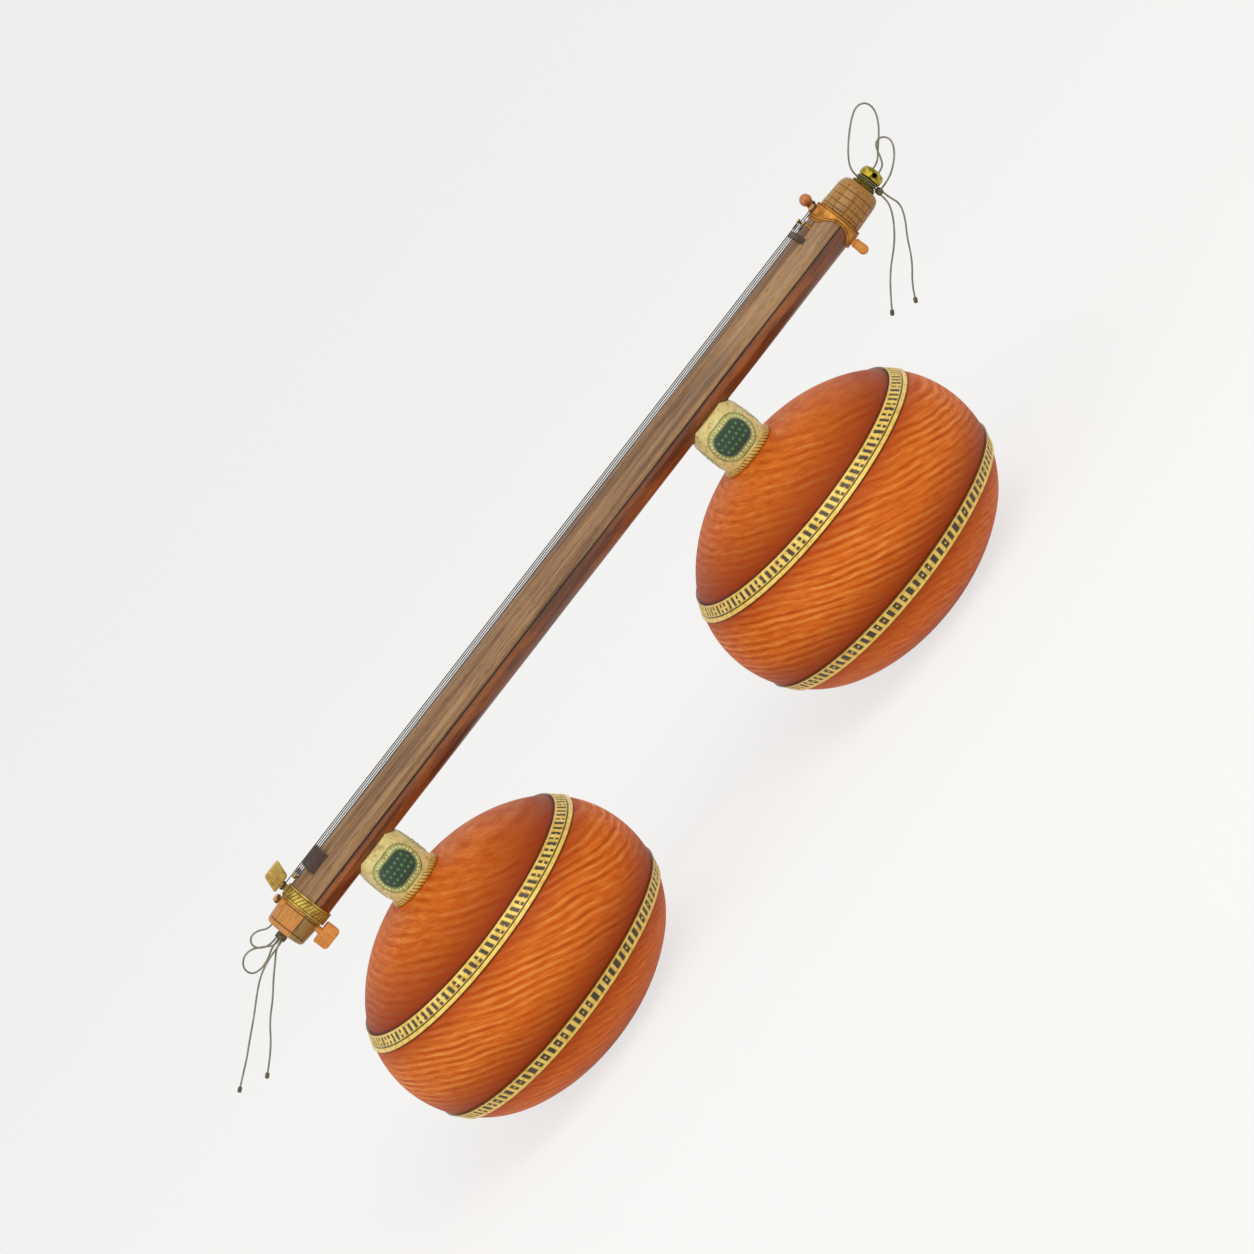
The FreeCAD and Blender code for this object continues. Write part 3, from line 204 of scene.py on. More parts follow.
def grained_finish(name, pattern, stops, depth, cloud=None, **constants):
    """A material whose colour and bump follow one fine pattern, given as what speckle takes. A cloud, as its
    share, repeats and detail, is mixed into the colour alone."""
    finish, tree, shader = new_finish(name, **constants)
    fine = speckle(tree, *pattern)
    tone = fine
    if cloud:
        share, repeats, detail = cloud
        tone = add(tree, "Mix", {0: share, 2: fine, 3: speckle(tree, repeats, detail)})
    finish_off(tree, shader, add(tree, "ValToRGB", {0: tone}, stops), fine, depth)
    return finish


# Twisted gut, dried and lightly oiled: grey-cream and a little glassy, with fibres of about 0.5 mm that
# show as fine light and dark flecks.
gut = grained_finish("twisted_gut", (900.0, 4.0), [(0.3, "#5E5C50"), (0.5, "#84816F"), (0.68, "#ABA793")],
                     0.00015, cloud=(0.5, 90.0, 2.0), Roughness=0.42, IOR=1.54)


def new_cord(name, end_x, outward, route):
    """A smooth spline led by the route's points, each in mm outwards from the block's end, sideways and
    up from the stick's axis."""
    points = [(end_x + outward * out / 1000, y / 1000, AXIS_Z + rise / 1000) for out, y, rise in route]
    curve = bpy.data.curves.new(name, "CURVE")
    curve.dimensions = "3D"
    spline = curve.splines.new("NURBS")
    spline.points.add(len(points) - 1)
    for point, place in zip(spline.points, points):
        point.co = (*place, 1.0)
    spline.order_u = 3
    spline.use_endpoint_u = True
    spline.resolution_u = 10
    curve.bevel_depth = GUT_R
    curve.bevel_resolution = 4
    curve.use_fill_caps = True
    curve.materials.append(gut)
    cord = put(name, curve)
    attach(cord, "neck_and_gourds")
    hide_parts(name.replace("_cord", ""))
    return cord, points[0]


head_loops = {
    "head_long_loop_cord": (0.143, [
        (4.6, 0, 10.9), (4.6, 0, 17.6), (11.4, 0, 27.0), (25.5, 0.2, 38.1), (42.6, 0.5, 48.1),
        (54.6, 0.7, 51.7), (62.7, 0.8, 46.3), (62.8, 0.8, 36.3), (55.8, 0.6, 25.9), (45.9, 0.4, 17.5),
        (34.9, 0.2, 10.0), (26.0, 0, 3.0), (19.0, 0, 3.0)]),
    "head_short_loop_cord": (0.095, [
        (19.0, -2.6, -3.0), (25.5, -2.6, -3.0), (30.9, -3.1, 3.6), (34.4, -3.3, 11.6), (39.3, -3.3, 17.2),
        (46.2, -3.0, 16.3), (50.2, -2.6, 9.8), (48.1, -2.1, 2.4), (41.0, -1.5, -5.0), (31.0, -0.9, -11.0),
        (19.9, 0, -14.9), (9.7, 0, -14.9)]),
}
tail_loops = {
    "tail_short_loop_cord": (0.057, [
        (0, 0, 14.0), (5.5, 0, 14.0), (12.0, 0, 20.5), (20.0, 0, 23.0), (26.5, 0, 18.5), (26.0, 0, 10.5),
        (17.5, 0, 3.2), (8.0, 0, 3.2)]),
    "tail_long_loop_cord": (0.099, [
        (8.0, -3.0, 0), (14.0, -3.0, 0), (21.5, -3.6, 8.5), (30.0, -3.4, 16.0), (40.0, -3.0, 17.0),
        (48.5, -2.4, 10.5), (48.5, -1.6, 0.5), (39.5, -0.4, -4.0), (28.0, 1.2, -3.5), (17.5, 3.0, 0),
        (8.0, 3.0, 0)]),
}
for end_x, outward, loops in ((HEAD_END, 1, head_loops), (TAIL_END, -1, tail_loops)):
    for name, (length, route) in loops.items():
        cord, start = new_cord(name, end_x, outward, route)

head_ends = {
    "head_outer_end_cord": (0.107, [
        (7.9, 0, -18.7), (7.9, 0, -25.7), (9.9, 0.8, -37.4), (2.4, 1.6, -49.9), (-10.1, 2.0, -62.4),
        (-24.6, 2.6, -80.9), (-41.1, 2.2, -93.4), (-49.0, 1.8, -103.2)]),
    "head_inner_end_cord": (0.109, [
        (4.5, 0, -18.7), (4.5, 0, -25.3), (-0.1, -0.8, -34.9), (-10.6, -1.6, -46.4), (-24.6, -2.2, -57.4),
        (-42.1, -2.4, -66.9), (-58.6, -2.0, -79.9), (-71.6, -1.6, -92.5)]),
}
tail_ends = {
    "tail_inner_end_cord": (0.124, [
        (8.0, 1.5, -3.0), (15.0, 1.5, -3.0), (25.5, 2.5, -10.3), (40.0, 2.0, -19.3), (55.0, 1.0, -30.3),
        (72.0, 0, -39.8), (88.0, 0.5, -53.8), (102.0, 1.0, -63.3), (112.2, 1.5, -69.1)]),
    "tail_outer_end_cord": (0.141, [
        (8.0, -1.5, -3.0), (16.0, -1.5, -3.0), (27.5, -2.6, -3.4), (43.5, -2.4, -6.5), (60.0, -2.0, -14.8),
        (77.5, -2.4, -25.3), (96.0, -3.0, -34.8), (113.0, -3.4, -44.3), (127.0, -3.2, -50.8),
        (137.2, -3.0, -55.8)]),
}


# Knots and lashing: the cords' ends are held by barrel knots, turns of the same gut drawn tight round each
# other, and the head's loop by two open turns in the knob's groove. They are darkened with wax.
def skin(name, capped, rings=()):
    """A mesh from grids of points: rows along the piece, columns round it, and a quad in each cell. The last
    column joins the first. A capped grid has a face at both ends, and a ring's last row joins its first. A
    grid that encloses a negative volume is turned round, so that its quads face outwards. Its two end faces
    run the other way round than the quads beside them."""
    points = np.concatenate([grid.reshape(-1, 3) for grid in (*capped, *rings)])
    faces = []
    start = 0
    for number, grid in enumerate((*capped, *rings)):
        rows, columns = grid.shape[:2]
        place = start + np.arange(rows * columns).reshape(rows, columns)
        start += rows * columns
        caps = [place[0], place[-1, ::-1]]
        if number >= len(capped):
            caps = []
            place = np.concatenate([place, place[:1]])
        place = np.concatenate([place, place[:, :1]], axis=1)
        quads = np.stack([place[:-1, :-1], place[:-1, 1:], place[1:, 1:], place[1:, :-1]], axis=-1)
        quads = quads.reshape(-1, 4)
        a, b, c, d = np.moveaxis(points[quads] - grid.mean(axis=(0, 1)), 1, 0)
        if np.sum(a * (np.cross(b - a, c - a) + np.cross(c - a, d - a))) <= 0:
            quads = quads[:, ::-1]
            caps = [cap[::-1] for cap in caps]
        faces += quads.tolist() + [cap.tolist() for cap in caps]
    mesh = bpy.data.meshes.new(name)
    mesh.from_pydata(points.tolist(), [], faces)
    mesh.shade_smooth()
    mesh.set_sharp_from_angle(angle=math.radians(38.0))
    return mesh


def new_piece(name, capped, finish, node, body="neck_and_gourds", rings=(), colours=None):
    """A piece from grids of points, which rides on a body and stands for a node. Colours are one linear
    colour for each point, stored as the attribute paint."""
    mesh = skin(name, capped, rings)
    if colours is not None:
        values = np.ones((len(mesh.vertices), 4))
        values[:, :3] = colours.reshape(-1, 3)
        mesh.color_attributes.new("paint", "FLOAT_COLOR", "POINT").data.foreach_set("color", values.ravel())
    mesh.materials.append(finish)
    piece = put(name, mesh)
    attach(piece, body)
    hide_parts(node)
    return piece


def round_about(count):
    """Angles evenly round a full turn, as one row that starts at 0."""
    return np.linspace(0.0, 2 * math.pi, count, endpoint=False)[None, :]


def tube_points(line, side, radius, sides):
    """A round tube: at each station of the line a circle whose first axis is the side vector and whose
    second is at right angles to it and to the line's direction."""
    ahead = np.gradient(line, axis=0)
    ahead /= np.linalg.norm(ahead, axis=1, keepdims=True)
    side = np.broadcast_to(side, line.shape)
    side = side - ahead * np.sum(side * ahead, axis=1, keepdims=True)
    side = side / np.linalg.norm(side, axis=1, keepdims=True)
    other = np.cross(ahead, side)
    angle = round_about(sides)[..., None]
    return line[:, None] + (side[:, None] * np.cos(angle) + other[:, None] * np.sin(angle)) * radius


def spiral(centre, radius, turns, count, pitch, phase=0.0):
    """A helix round a line along X, and the outward direction at each of its points."""
    turn = np.linspace(0.0, 2 * math.pi * turns, count)[:, None]
    outwards = np.concatenate([0 * turn, np.cos(turn + phase), np.sin(turn + phase)], axis=1)
    line = np.array(centre) + outwards * radius
    line[:, :1] += turn / (2 * math.pi) * pitch
    return line, outwards


def knot_points(start, ahead, radius, length, turns):
    """A barrel of wound gut: a cylinder whose radius follows a row of half circles that climb round it as a
    helix, pulled in at both ends."""
    ahead = np.array(ahead) / np.linalg.norm(ahead)
    side = np.cross(ahead, (0.0, 1.0, 0.0))
    side /= np.linalg.norm(side)
    other = np.cross(ahead, side)
    t = np.linspace(0.0, 1.0, 12 * turns)[:, None]
    angle = round_about(36)
    climb = np.abs(np.sin(math.pi * (t * turns - angle / (2 * math.pi))))
    gut_r = length / turns / 2
    r = radius - gut_r * (1 - np.sqrt(1 - (1 - climb) ** 2 * 0.75))
    r = r * np.sqrt(np.clip(1 - np.abs(2 * t - 1) ** 6, 0.02, 1))
    offset = side * (r * np.cos(angle))[..., None] + other * (r * np.sin(angle))[..., None]
    return np.array(start) + ahead * (t * length)[..., None] + offset


# Waxed gut: the same fibres under dark wax, which fills the grooves between turns.
waxed_gut = grained_finish("waxed_gut", (700.0, 4.0),
                           [(0.3, "#37331F"), (0.55, "#6B6441"), (0.72, "#978F62")], 0.0002,
                           Roughness=0.5, IOR=1.5)

knot = knot_points((HEAD_END + 0.0027, 0, AXIS_Z - 0.0149), (1, 0, 0), 0.0038, 0.0070, 4)
new_piece("head_barrel_knot", [knot], waxed_gut, "head_knot")
knot = knot_points((TAIL_END - 0.0080, 0, AXIS_Z), (1, 0, 0), 0.0055, 0.0080, 4)
new_piece("tail_barrel_knot", [knot], waxed_gut, "tail_knot")

for end_x, outward, loose_ends in ((HEAD_END, 1, head_ends), (TAIL_END, -1, tail_ends)):
    for name, (length, route) in loose_ends.items():
        cord, start = new_cord(name, end_x, outward, route)
        before, last = np.array(route[-2:]) * (outward, 1, 1) / 1000
        tip = last + (end_x, 0, AXIS_Z)
        knot = new_piece(name + "_knot", [knot_points(tip, last - before, 0.0021, 0.0060, 3)], waxed_gut,
                         name.replace("_cord", "_knot"))

turns = spiral((HEAD_END + 0.00345, 0, AXIS_Z), 0.01005, 2, 120, 0.00225, -math.pi / 2)
new_piece("knob_lashing", [tube_points(*turns, GUT_R, 12)], waxed_gut, "head_lashing")


# Stick: a tube of hardwood 44 mm thick, split along its length. The cover above the seam is pale and
# weathered under thin varnish, and the trough below it is stained red-brown. Both edges are eased at the
# seam, which leaves a dark groove. Pegs, bolts and pins go through bored holes.
NECK_R = 0.022
BORE_R = 0.017
SEAM = -0.002
TUBE_TAIL = -0.3935
TUBE_HEAD = 0.4140


def split_tube(sign):
    """Half a tube carried along X, the upper for sign 1 and the lower for -1: the section runs along the
    outer arc between the seam's two edges, round each edge on a small radius, and back along the bore. It
    wavers by 0.15 mm along its length, as wood planed by hand does."""
    edge = 0.0011
    seam = SEAM + sign * 0.00005
    drop = math.asin((seam + sign * edge) / NECK_R)
    sweep = np.linspace(drop, sign * math.pi - drop, 64)
    outer = np.stack([NECK_R * np.cos(sweep), NECK_R * np.sin(sweep)], axis=1)
    drop = math.asin(seam / BORE_R)
    back = np.linspace(drop, sign * math.pi - drop, 40)
    inner = np.stack([BORE_R * np.cos(back), BORE_R * np.sin(back)], axis=1)[::-1]
    t = np.linspace(0.0, math.pi / 2, 6)[1:]
    first_edge = outer[-1] + edge * np.stack([1 - np.cos(t), -sign * np.sin(t)], axis=1)
    section = np.concatenate([outer, first_edge, inner, first_edge[::-1] * (-1, 1)])
    x = np.linspace(TUBE_TAIL, TUBE_HEAD, 270)[:, None]
    far = np.hypot(section[:, 0], section[:, 1])[None, :]
    theta = np.arctan2(section[:, 1], section[:, 0])[None, :]
    waver = 0.00015 * np.sin(x * 41.0 + 2.0 * theta) * np.sin(x * 13.0 + theta)
    ease = np.clip((x - TUBE_TAIL - 0.014) / 0.02, 0, 1) * np.clip((TUBE_HEAD - 0.018 - x) / 0.02, 0, 1)
    grow = 1 + np.where(far > 0.0195, (waver - 0.00015) * ease / far, 0)
    y = section[:, 0] * grow
    z = AXIS_Z + section[:, 1] * grow
    return np.stack([np.broadcast_to(x, y.shape), y, z], axis=-1)


def layered(tree, colour, *coats):
    """Coats laid over a colour in turn: each is a share from 0 to 1, and a colour or hex code."""
    for share, coat in coats:
        if isinstance(coat, str):
            coat = linear(coat)
        colour = add(tree, "Mix", {0: share, 6: colour, 7: coat}, data_type="RGBA")
    return colour


def stick_wood(name, stops, streak_stops, fleck, rough):
    """Straight-grained hardwood: growth streaks 2 to 4 mm wide and up to 150 mm long, fine pores 0.5 mm wide
    and 10 mm long, and darker along the seam, where handling leaves dirt."""
    finish, tree, shader = new_finish(name, IOR=1.48, Coat_Weight=0.18, Coat_Roughness=0.3)
    bands = speckle(tree, (5.0, 230.0, 230.0), 4.0, 0.6, 0.3)
    patches = speckle(tree, (11.0, 45.0, 45.0))
    pores = speckle(tree, (90.0, 1500.0, 1500.0), 2.0)
    place = add(tree, "TexCoord").node.outputs["Object"]
    height_z = add(tree, "SeparateXYZ", {0: place}).node.outputs[2]
    apart = add(tree, "Math", {0: height_z, 1: AXIS_Z + SEAM}, operation="SUBTRACT")
    apart = add(tree, "Math", {0: apart}, operation="ABSOLUTE")
    near = add(tree, "MapRange", {0: apart, 1: 0.0, 2: 0.0019, 3: 1.0, 4: 0.0})
    colour = layered(
        tree, add(tree, "ValToRGB", {0: patches}, stops),
        (0.62, add(tree, "ValToRGB", {0: bands}, streak_stops)),
        (add(tree, "ValToRGB", {0: pores}, [(0.28, "#FFFFFF"), (0.42, "#000000")]), fleck),
        (near, "#1E110A"))
    height = add(tree, "Mix", {0: 0.3, 2: bands, 3: pores})
    wear = add(tree, "MapRange", {0: patches, 1: 0.3, 2: 0.7, 3: rough - 0.1, 4: rough + 0.12})
    finish_off(tree, shader, colour, height, 0.0004, wear)
    return finish


cover_wood = stick_wood(
    "weathered_cover_wood",
    [(0.34, "#7C5836"), (0.5, "#98724A"), (0.64, "#B08A60")],
    [(0.38, "#482E1A"), (0.46, "#855E3C"), (0.56, "#A67F56"), (0.68, "#BE9A6E")],
    "#442E1C", 0.5)
trough_wood = stick_wood(
    "red_stained_trough_wood",
    [(0.36, "#4E2A18"), (0.47, "#80452A"), (0.55, "#BC6A30"), (0.66, "#D8843C")],
    [(0.34, "#3A1E12"), (0.46, "#6B3B22"), (0.6, "#8E5129"), (0.72, "#B06A34")],
    "#301A10", 0.45)
new_piece("stick_cover", [split_tube(1)], cover_wood, "neck_cover")
new_piece("stick_trough", [split_tube(-1)], trough_wood, "neck_trough")


# End blocks: turned plugs of pale orange wood, glued into the tube by a tenon. The head's is cut with a
# grid of shallow grooves, and the tail's with one groove on each side and a ring at both ends. The grooves
# are filled with dark stain.
TENON_R = 0.0169
POLE_R = 0.0004


def rounded(corners, reach, steps=5):
    """A profile with each inner corner replaced by a curve that leaves and meets its lines a reach from the
    corner, or nearer where a line is short: (1-t)^2 a + 2t(1-t) corner + t^2 b."""
    corners = np.array(corners, dtype=float)
    t = np.linspace(0.0, 1.0, steps)[:, None]
    parts = [corners[:1]]
    for before, corner, after in zip(corners, corners[1:], corners[2:]):
        back = before - corner
        on = after - corner
        first = corner + back * min(reach / np.linalg.norm(back), 0.45)
        last = corner + on * min(reach / np.linalg.norm(on), 0.45)
        parts.append((1 - t) ** 2 * first + 2 * t * (1 - t) * corner + t ** 2 * last)
    parts.append(corners[-1:])
    return np.concatenate(parts)


def evenly(profile, step):
    """The same profile with more points, at most a step apart, worked out along its length."""
    far = np.concatenate([[0.0], np.cumsum(np.linalg.norm(np.diff(profile, axis=0), axis=1))])
    inside = np.linspace(0.0, far[-1], max(2, int(far[-1] / step) + 1))
    places = np.unique(np.concatenate([far, inside]).round(7))
    return np.stack([np.interp(places, far, profile[:, side]) for side in range(profile.shape[1])], axis=1)


def carved(profile, sides, pattern, deepest):
    """A profile of (x, radius) turned round the stick's axis, with its radius less the deepest cut times the
    pattern. The pattern takes x, the angle from upwards and the radius. Gives points, pattern and angles."""
    angle = round_about(sides)
    x, r = profile[:, :1], profile[:, 1:]
    cut = pattern(x, angle, r)
    r = r - deepest * cut
    points = np.stack([np.broadcast_to(x, r.shape), r * np.sin(angle), AXIS_Z + r * np.cos(angle)], axis=-1)
    return points, cut, angle


def groove(distance, width):
    """1 at the middle of a groove of this width and 0 beyond it, with a round floor."""
    return np.sqrt(np.clip(1 - (2 * distance / width) ** 2, 0, 1))


def tint(shares, *codes):
    """Hex colours laid over each other: the first everywhere, each next one by its share from 0 to 1."""
    colours = np.broadcast_to(np.array(linear(codes[0])[:3]), shares[0].shape + (3,)).copy()
    for share, code in zip(shares, codes[1:]):
        colours += (np.array(linear(code)[:3]) - colours) * share[..., None]
    return colours


def painted_finish(name, worn, stops, share, tool, depth, gloss=None, **constants):
    """A material with the mesh's own paint, darkened by a share of the worn pattern's shades, and a bump from
    the tool's pattern. Patterns are what speckle takes. Gloss is the roughness at 0.3 and 0.7 of the worn
    pattern."""
    finish, tree, shader = new_finish(name, **constants)
    wear = speckle(tree, *worn)
    layer = add(tree, "Attribute", attribute_name="paint")
    colour = add(tree, "Mix", {0: share, 6: layer, 7: add(tree, "ValToRGB", {0: wear}, stops)},
                 data_type="RGBA", blend_type="MULTIPLY")
    rough = gloss and add(tree, "MapRange", {0: wear, 1: 0.3, 2: 0.7, 3: gloss[0], 4: gloss[1]})
    finish_off(tree, shader, colour, speckle(tree, *tool), depth, rough)
    return finish


# Stained and carved wood: the stain's own colours on the mesh, with a painted highlight along the head
# block's top, under grain 1 mm wide and 20 mm long that runs along the stick.
along_block = ((50.0, 700.0, 700.0), 4.0, 0.6, 0.4)
block_wood = painted_finish(
    "stained_block_wood", along_block, [(0.3, "#948C78"), (0.5, "#F0EEE0"), (0.7, "#FFFFFF")], 0.85,
    along_block, 0.0003, IOR=1.48, Coat_Weight=0.2, Coat_Roughness=0.28, Roughness=0.42)


def head_grooves(x, angle, r):
    """Thin grooves cut by hand: four uneven rings that waver, and lines along the block, unevenly spaced."""
    waver = 0.0004 * np.sin(2 * angle + 1.0) + 0.0002 * np.sin(5 * angle)
    rings = np.min(np.abs((x + waver)[..., None] - np.array((0.4180, 0.4238, 0.4309, 0.4385))), axis=-1)
    turned = angle + 0.09 * np.sin(3 * angle + 0.6) + 4.0 * (x - 0.430) * np.sin(2 * angle)
    spokes = np.abs((turned + math.pi / 14) % (math.pi / 7) - math.pi / 14) * r
    body = (x > 0.4145) & (x < 0.4435)
    return np.maximum(groove(rings, 0.0008), groove(spokes, 0.0008)) * body


def tail_grooves(x, angle, r):
    """A ring near each edge of the block, and one groove along it on each side."""
    rings = np.min(np.abs(x[..., None] - np.array((-0.3965, -0.4150))), axis=-1)
    sides = np.minimum(np.abs(angle - math.pi / 2 - 0.1), np.abs(angle - 3 * math.pi / 2 + 0.1)) * r
    body = (x < -0.3940) & (x > -0.4160)
    return np.maximum(groove(rings, 0.0012), groove(sides, 0.0016)) * body


profile = rounded([(0.386, POLE_R), (0.386, TENON_R), (TUBE_HEAD, TENON_R), (TUBE_HEAD, NECK_R),
                   (0.4215, 0.0216), (0.4420, 0.0205), (0.4477, 0.0182), (HEAD_END, 0.0125),
                   (HEAD_END, POLE_R)], 0.0035)
points, cut, angle = carved(evenly(profile, 0.0005), 300, head_grooves, 0.0005)
# The head block is painted lighter over its top, a painted highlight that fades out 60 degrees down each
# side.
crown = np.broadcast_to(np.clip(np.cos(angle) * 2 - 1, 0, 1), cut.shape)
new_piece("head_end_block", [points], block_wood, "head_block",
          colours=tint([crown * 0.7, cut * 0.8], "#B07A28", "#C89842", "#44260C"))

profile = rounded([(TAIL_END, POLE_R), (TAIL_END, 0.0165), (-0.4198, 0.0194), (-0.4170, 0.0205),
                   (TUBE_TAIL, NECK_R), (TUBE_TAIL, TENON_R), (-0.3675, TENON_R), (-0.3675, POLE_R)], 0.0015)
points, cut, angle = carved(evenly(profile, 0.0005), 300, tail_grooves, 0.0006)
above = np.broadcast_to(np.cos(angle) > -0.1, cut.shape).astype(float)
new_piece("tail_end_block", [points], block_wood, "tail_block",
          colours=tint([above, cut * 0.9], "#AC8848", "#E09844", "#3A1D0E"))


# Ferrules: rings of gilt brass sheet, 2.2 mm thick, pressed over the tube's ends, with rolled edges. The
# tail's is chased with slanting lines, and the head's is cut away at the sides to a narrow bar.
FERRULE_R = 0.02205
FERRULE_THICK = 0.0022
gilt = painted_finish(
    "chased_gilt_brass", (120.0, 4.0), [(0.3, "#9C7A3C"), (0.55, "#F0E2C0"), (0.7, "#FFFFFF")], 0.8,
    ((1600.0, 300.0, 300.0),), 0.0001, (0.62, 0.46), Metallic=0.55)


def ring_points(low, high, angle, chasing):
    """A ring round the stick: a rounded rectangle carried round the axis, between the places low and high
    along X at each angle, with the chasing cut 0.6 mm deep into its outside. Gives points and chasing."""
    section = rounded([(0.0, 0.5), (0.0, 1.0), (1.0, 1.0), (1.0, 0.0), (0.0, 0.0), (0.0, 0.5)], 0.10)
    section = evenly(section, 0.05)[None, :-1]
    x = low + (high - low) * section[..., 0] + 0 * angle
    rim = np.minimum(x - low, high - x)
    cut = np.where(section[..., 1] > 0.9, chasing(x, angle, rim), 0)
    r = FERRULE_R + FERRULE_THICK * section[..., 1] - 0.0006 * cut
    return np.stack([x, r * np.sin(angle), AXIS_Z + r * np.cos(angle)], axis=-1), cut


def tail_chasing(x, angle, rim):
    """Slanting lines 4.2 mm apart between two lines that follow the rims."""
    lines = np.abs((angle * 0.0242 + x * 0.6) % 0.0042 - 0.0021)
    return np.maximum(groove(lines, 0.0011) * (rim > 0.0022), groove(np.abs(rim - 0.0020), 0.0008))


def head_chasing(x, angle, rim):
    """One line that follows each rim."""
    return groove(np.abs(rim - 0.0016), 0.0008)


def bar_edge(angle):
    """The head ferrule's tail-side edge: a round cut from each side that leaves a 6.5 mm bar half way up."""
    boss = math.sqrt(NECK_R ** 2 - (0.0085 + 0.00358 + 0.0012) ** 2)
    reach = 0.0105
    bend = (reach ** 2 + boss ** 2) / (2 * reach)
    rise = np.abs(np.cos(angle)) * 0.0233
    cut_edge = TUBE_HEAD - 0.0065 - bend + np.sqrt(np.clip(bend ** 2 - rise ** 2, 0, None))
    return np.maximum(np.where(rise < boss, cut_edge, 0.397), 0.397)


angle = round_about(420).T
for end, low, high, chasing, codes in (
        ("tail", TUBE_TAIL, -0.3810, tail_chasing, ("#D6BC5E", "#4A3414")),
        ("head", bar_edge(angle), TUBE_HEAD, head_chasing, ("#CF9440", "#6A3A14"))):
    points, cut = ring_points(low, high, angle, chasing)
    new_piece(end + "_gilt_ferrule", [], gilt, end + "_ferrule", rings=[points],
              colours=tint([cut * 0.9], *codes))


# Knob: cast brass, old and greenish, and darker olive over its flange and lashing groove, on a tang in the
# head block. It has a flange, a groove for the lashing and a domed barrel with a hole right through it, in
# line with Y. The inside of the hole is painted near black, a painted shadow.
BARREL = 0.4592
old_brass = painted_finish(
    "old_cast_brass", (260.0, 5.0), [(0.35, "#6F7040"), (0.55, "#E2DCB4"), (0.7, "#FFFFFF")], 0.9,
    (1400.0, 2.0), 0.00015, (0.58, 0.3), Metallic=1.0)


def knob_hole(x, angle, r):
    """1 inside the cross hole, where the surface is sunk almost to the axis, and 0 outside it."""
    apart = np.hypot(x - (HEAD_END + 0.0140), r * np.cos(angle))
    return np.clip((0.0025 - apart) / 0.0004, 0, 1) * (x > BARREL)


profile = evenly(rounded([
    (0.4350, POLE_R), (0.4350, 0.0040), (HEAD_END, 0.0040), (HEAD_END, 0.0120), (0.4524, 0.0120),
    (0.4524, 0.0090), (0.4590, 0.0090), (0.4590, 0.0114), (0.4645, 0.0114), (0.4674, 0.0098),
    (0.4690, 0.0060), (0.4690, POLE_R)], 0.0009), 0.0003)
points, hole, angle = carved(profile, 260, knob_hole, np.minimum(profile[:, 1:] - POLE_R, 0.0095))
flange = np.broadcast_to((profile[:, :1] < BARREL) * 1.0, hole.shape)
# The inside of the cross hole is painted near black, a painted shadow, and the flange and groove darker
# olive.
new_piece("brass_knob", [points], old_brass, "head_knob",
          colours=tint([flange * 0.75, hole * 0.95], "#C9B64C", "#4A4420", "#15120A"))


# Pegs: turned hardwood shafts through the stick. The tail's two have flat paddles, one slanting and gilt
# and one squarish, and the head's have a bulb above and a finger below.
PEGS = {
    "head_upper": (0.4080, 0.0085), "head_lower": (0.4048, -0.0085),
    "tail_upper": (-0.3870, 0.0085), "tail_lower": (-0.3985, -0.0085),
}
PEG_R = 0.0035


def peg_wood(name, light, middle, dark, metallic=0.0):
    """Polished hardwood or thin gilding over it: grain 0.8 mm wide and 12 mm long up the peg."""
    return grained_finish(name, ((600.0, 600.0, 80.0), 4.0, 0.6, 0.5),
                          [(0.32, dark), (0.48, middle), (0.66, light)], 0.0002, cloud=(0.4, 130.0, 3.0),
                          Roughness=0.38, Metallic=metallic, Coat_Weight=0.25, Coat_Roughness=0.2)


rose_wood = peg_wood("rose_peg_wood", "#D88A4C", "#C0702F", "#8A4A1E")
orange_wood = peg_wood("orange_peg_wood", "#F0A64E", "#DE8C30", "#AE661E")
gilt_wood = peg_wood("gilded_peg_wood", "#DBC067", "#BC983F", "#7A5A20", 0.35)


def turned_z(profile, x, y, sides=48):
    """A profile of (radius, height above the stick's axis) turned round an upright line at x, y."""
    angle = round_about(sides)
    r = profile[:, :1]
    z = np.broadcast_to(AXIS_Z + profile[:, 1:], (len(r), sides))
    return np.stack([x + r * np.cos(angle), y + r * np.sin(angle), z], axis=-1)


def arc_points(centre, radius, first, last, count):
    """Points along a circle's arc between two angles."""
    angle = np.linspace(first, last, count)
    return np.stack([centre[0] + radius * np.cos(angle), centre[1] + radius * np.sin(angle)], axis=1)


def paddle_points(x, y, heights, half_width, half_thickness, lean):
    """A flat paddle: at each height a rounded rectangle, the curve |u|^n + |v|^n = 1 with n about 7."""
    angle = round_about(72)
    power = 0.28
    across = np.sign(np.cos(angle)) * np.abs(np.cos(angle)) ** power
    through = np.sign(np.sin(angle)) * np.abs(np.sin(angle)) ** power
    px = x + lean[:, None] + half_width[:, None] * across
    py = y + half_thickness[:, None] * through
    pz = np.broadcast_to(AXIS_Z + heights[:, None], px.shape)
    return np.stack([px, py, pz], axis=-1)


def shaft(low, high, reach):
    """The profile of a plain round shaft between two heights, with eased ends."""
    return rounded([(0.0003, low), (PEG_R, low), (PEG_R, high), (0.0003, high)], reach)


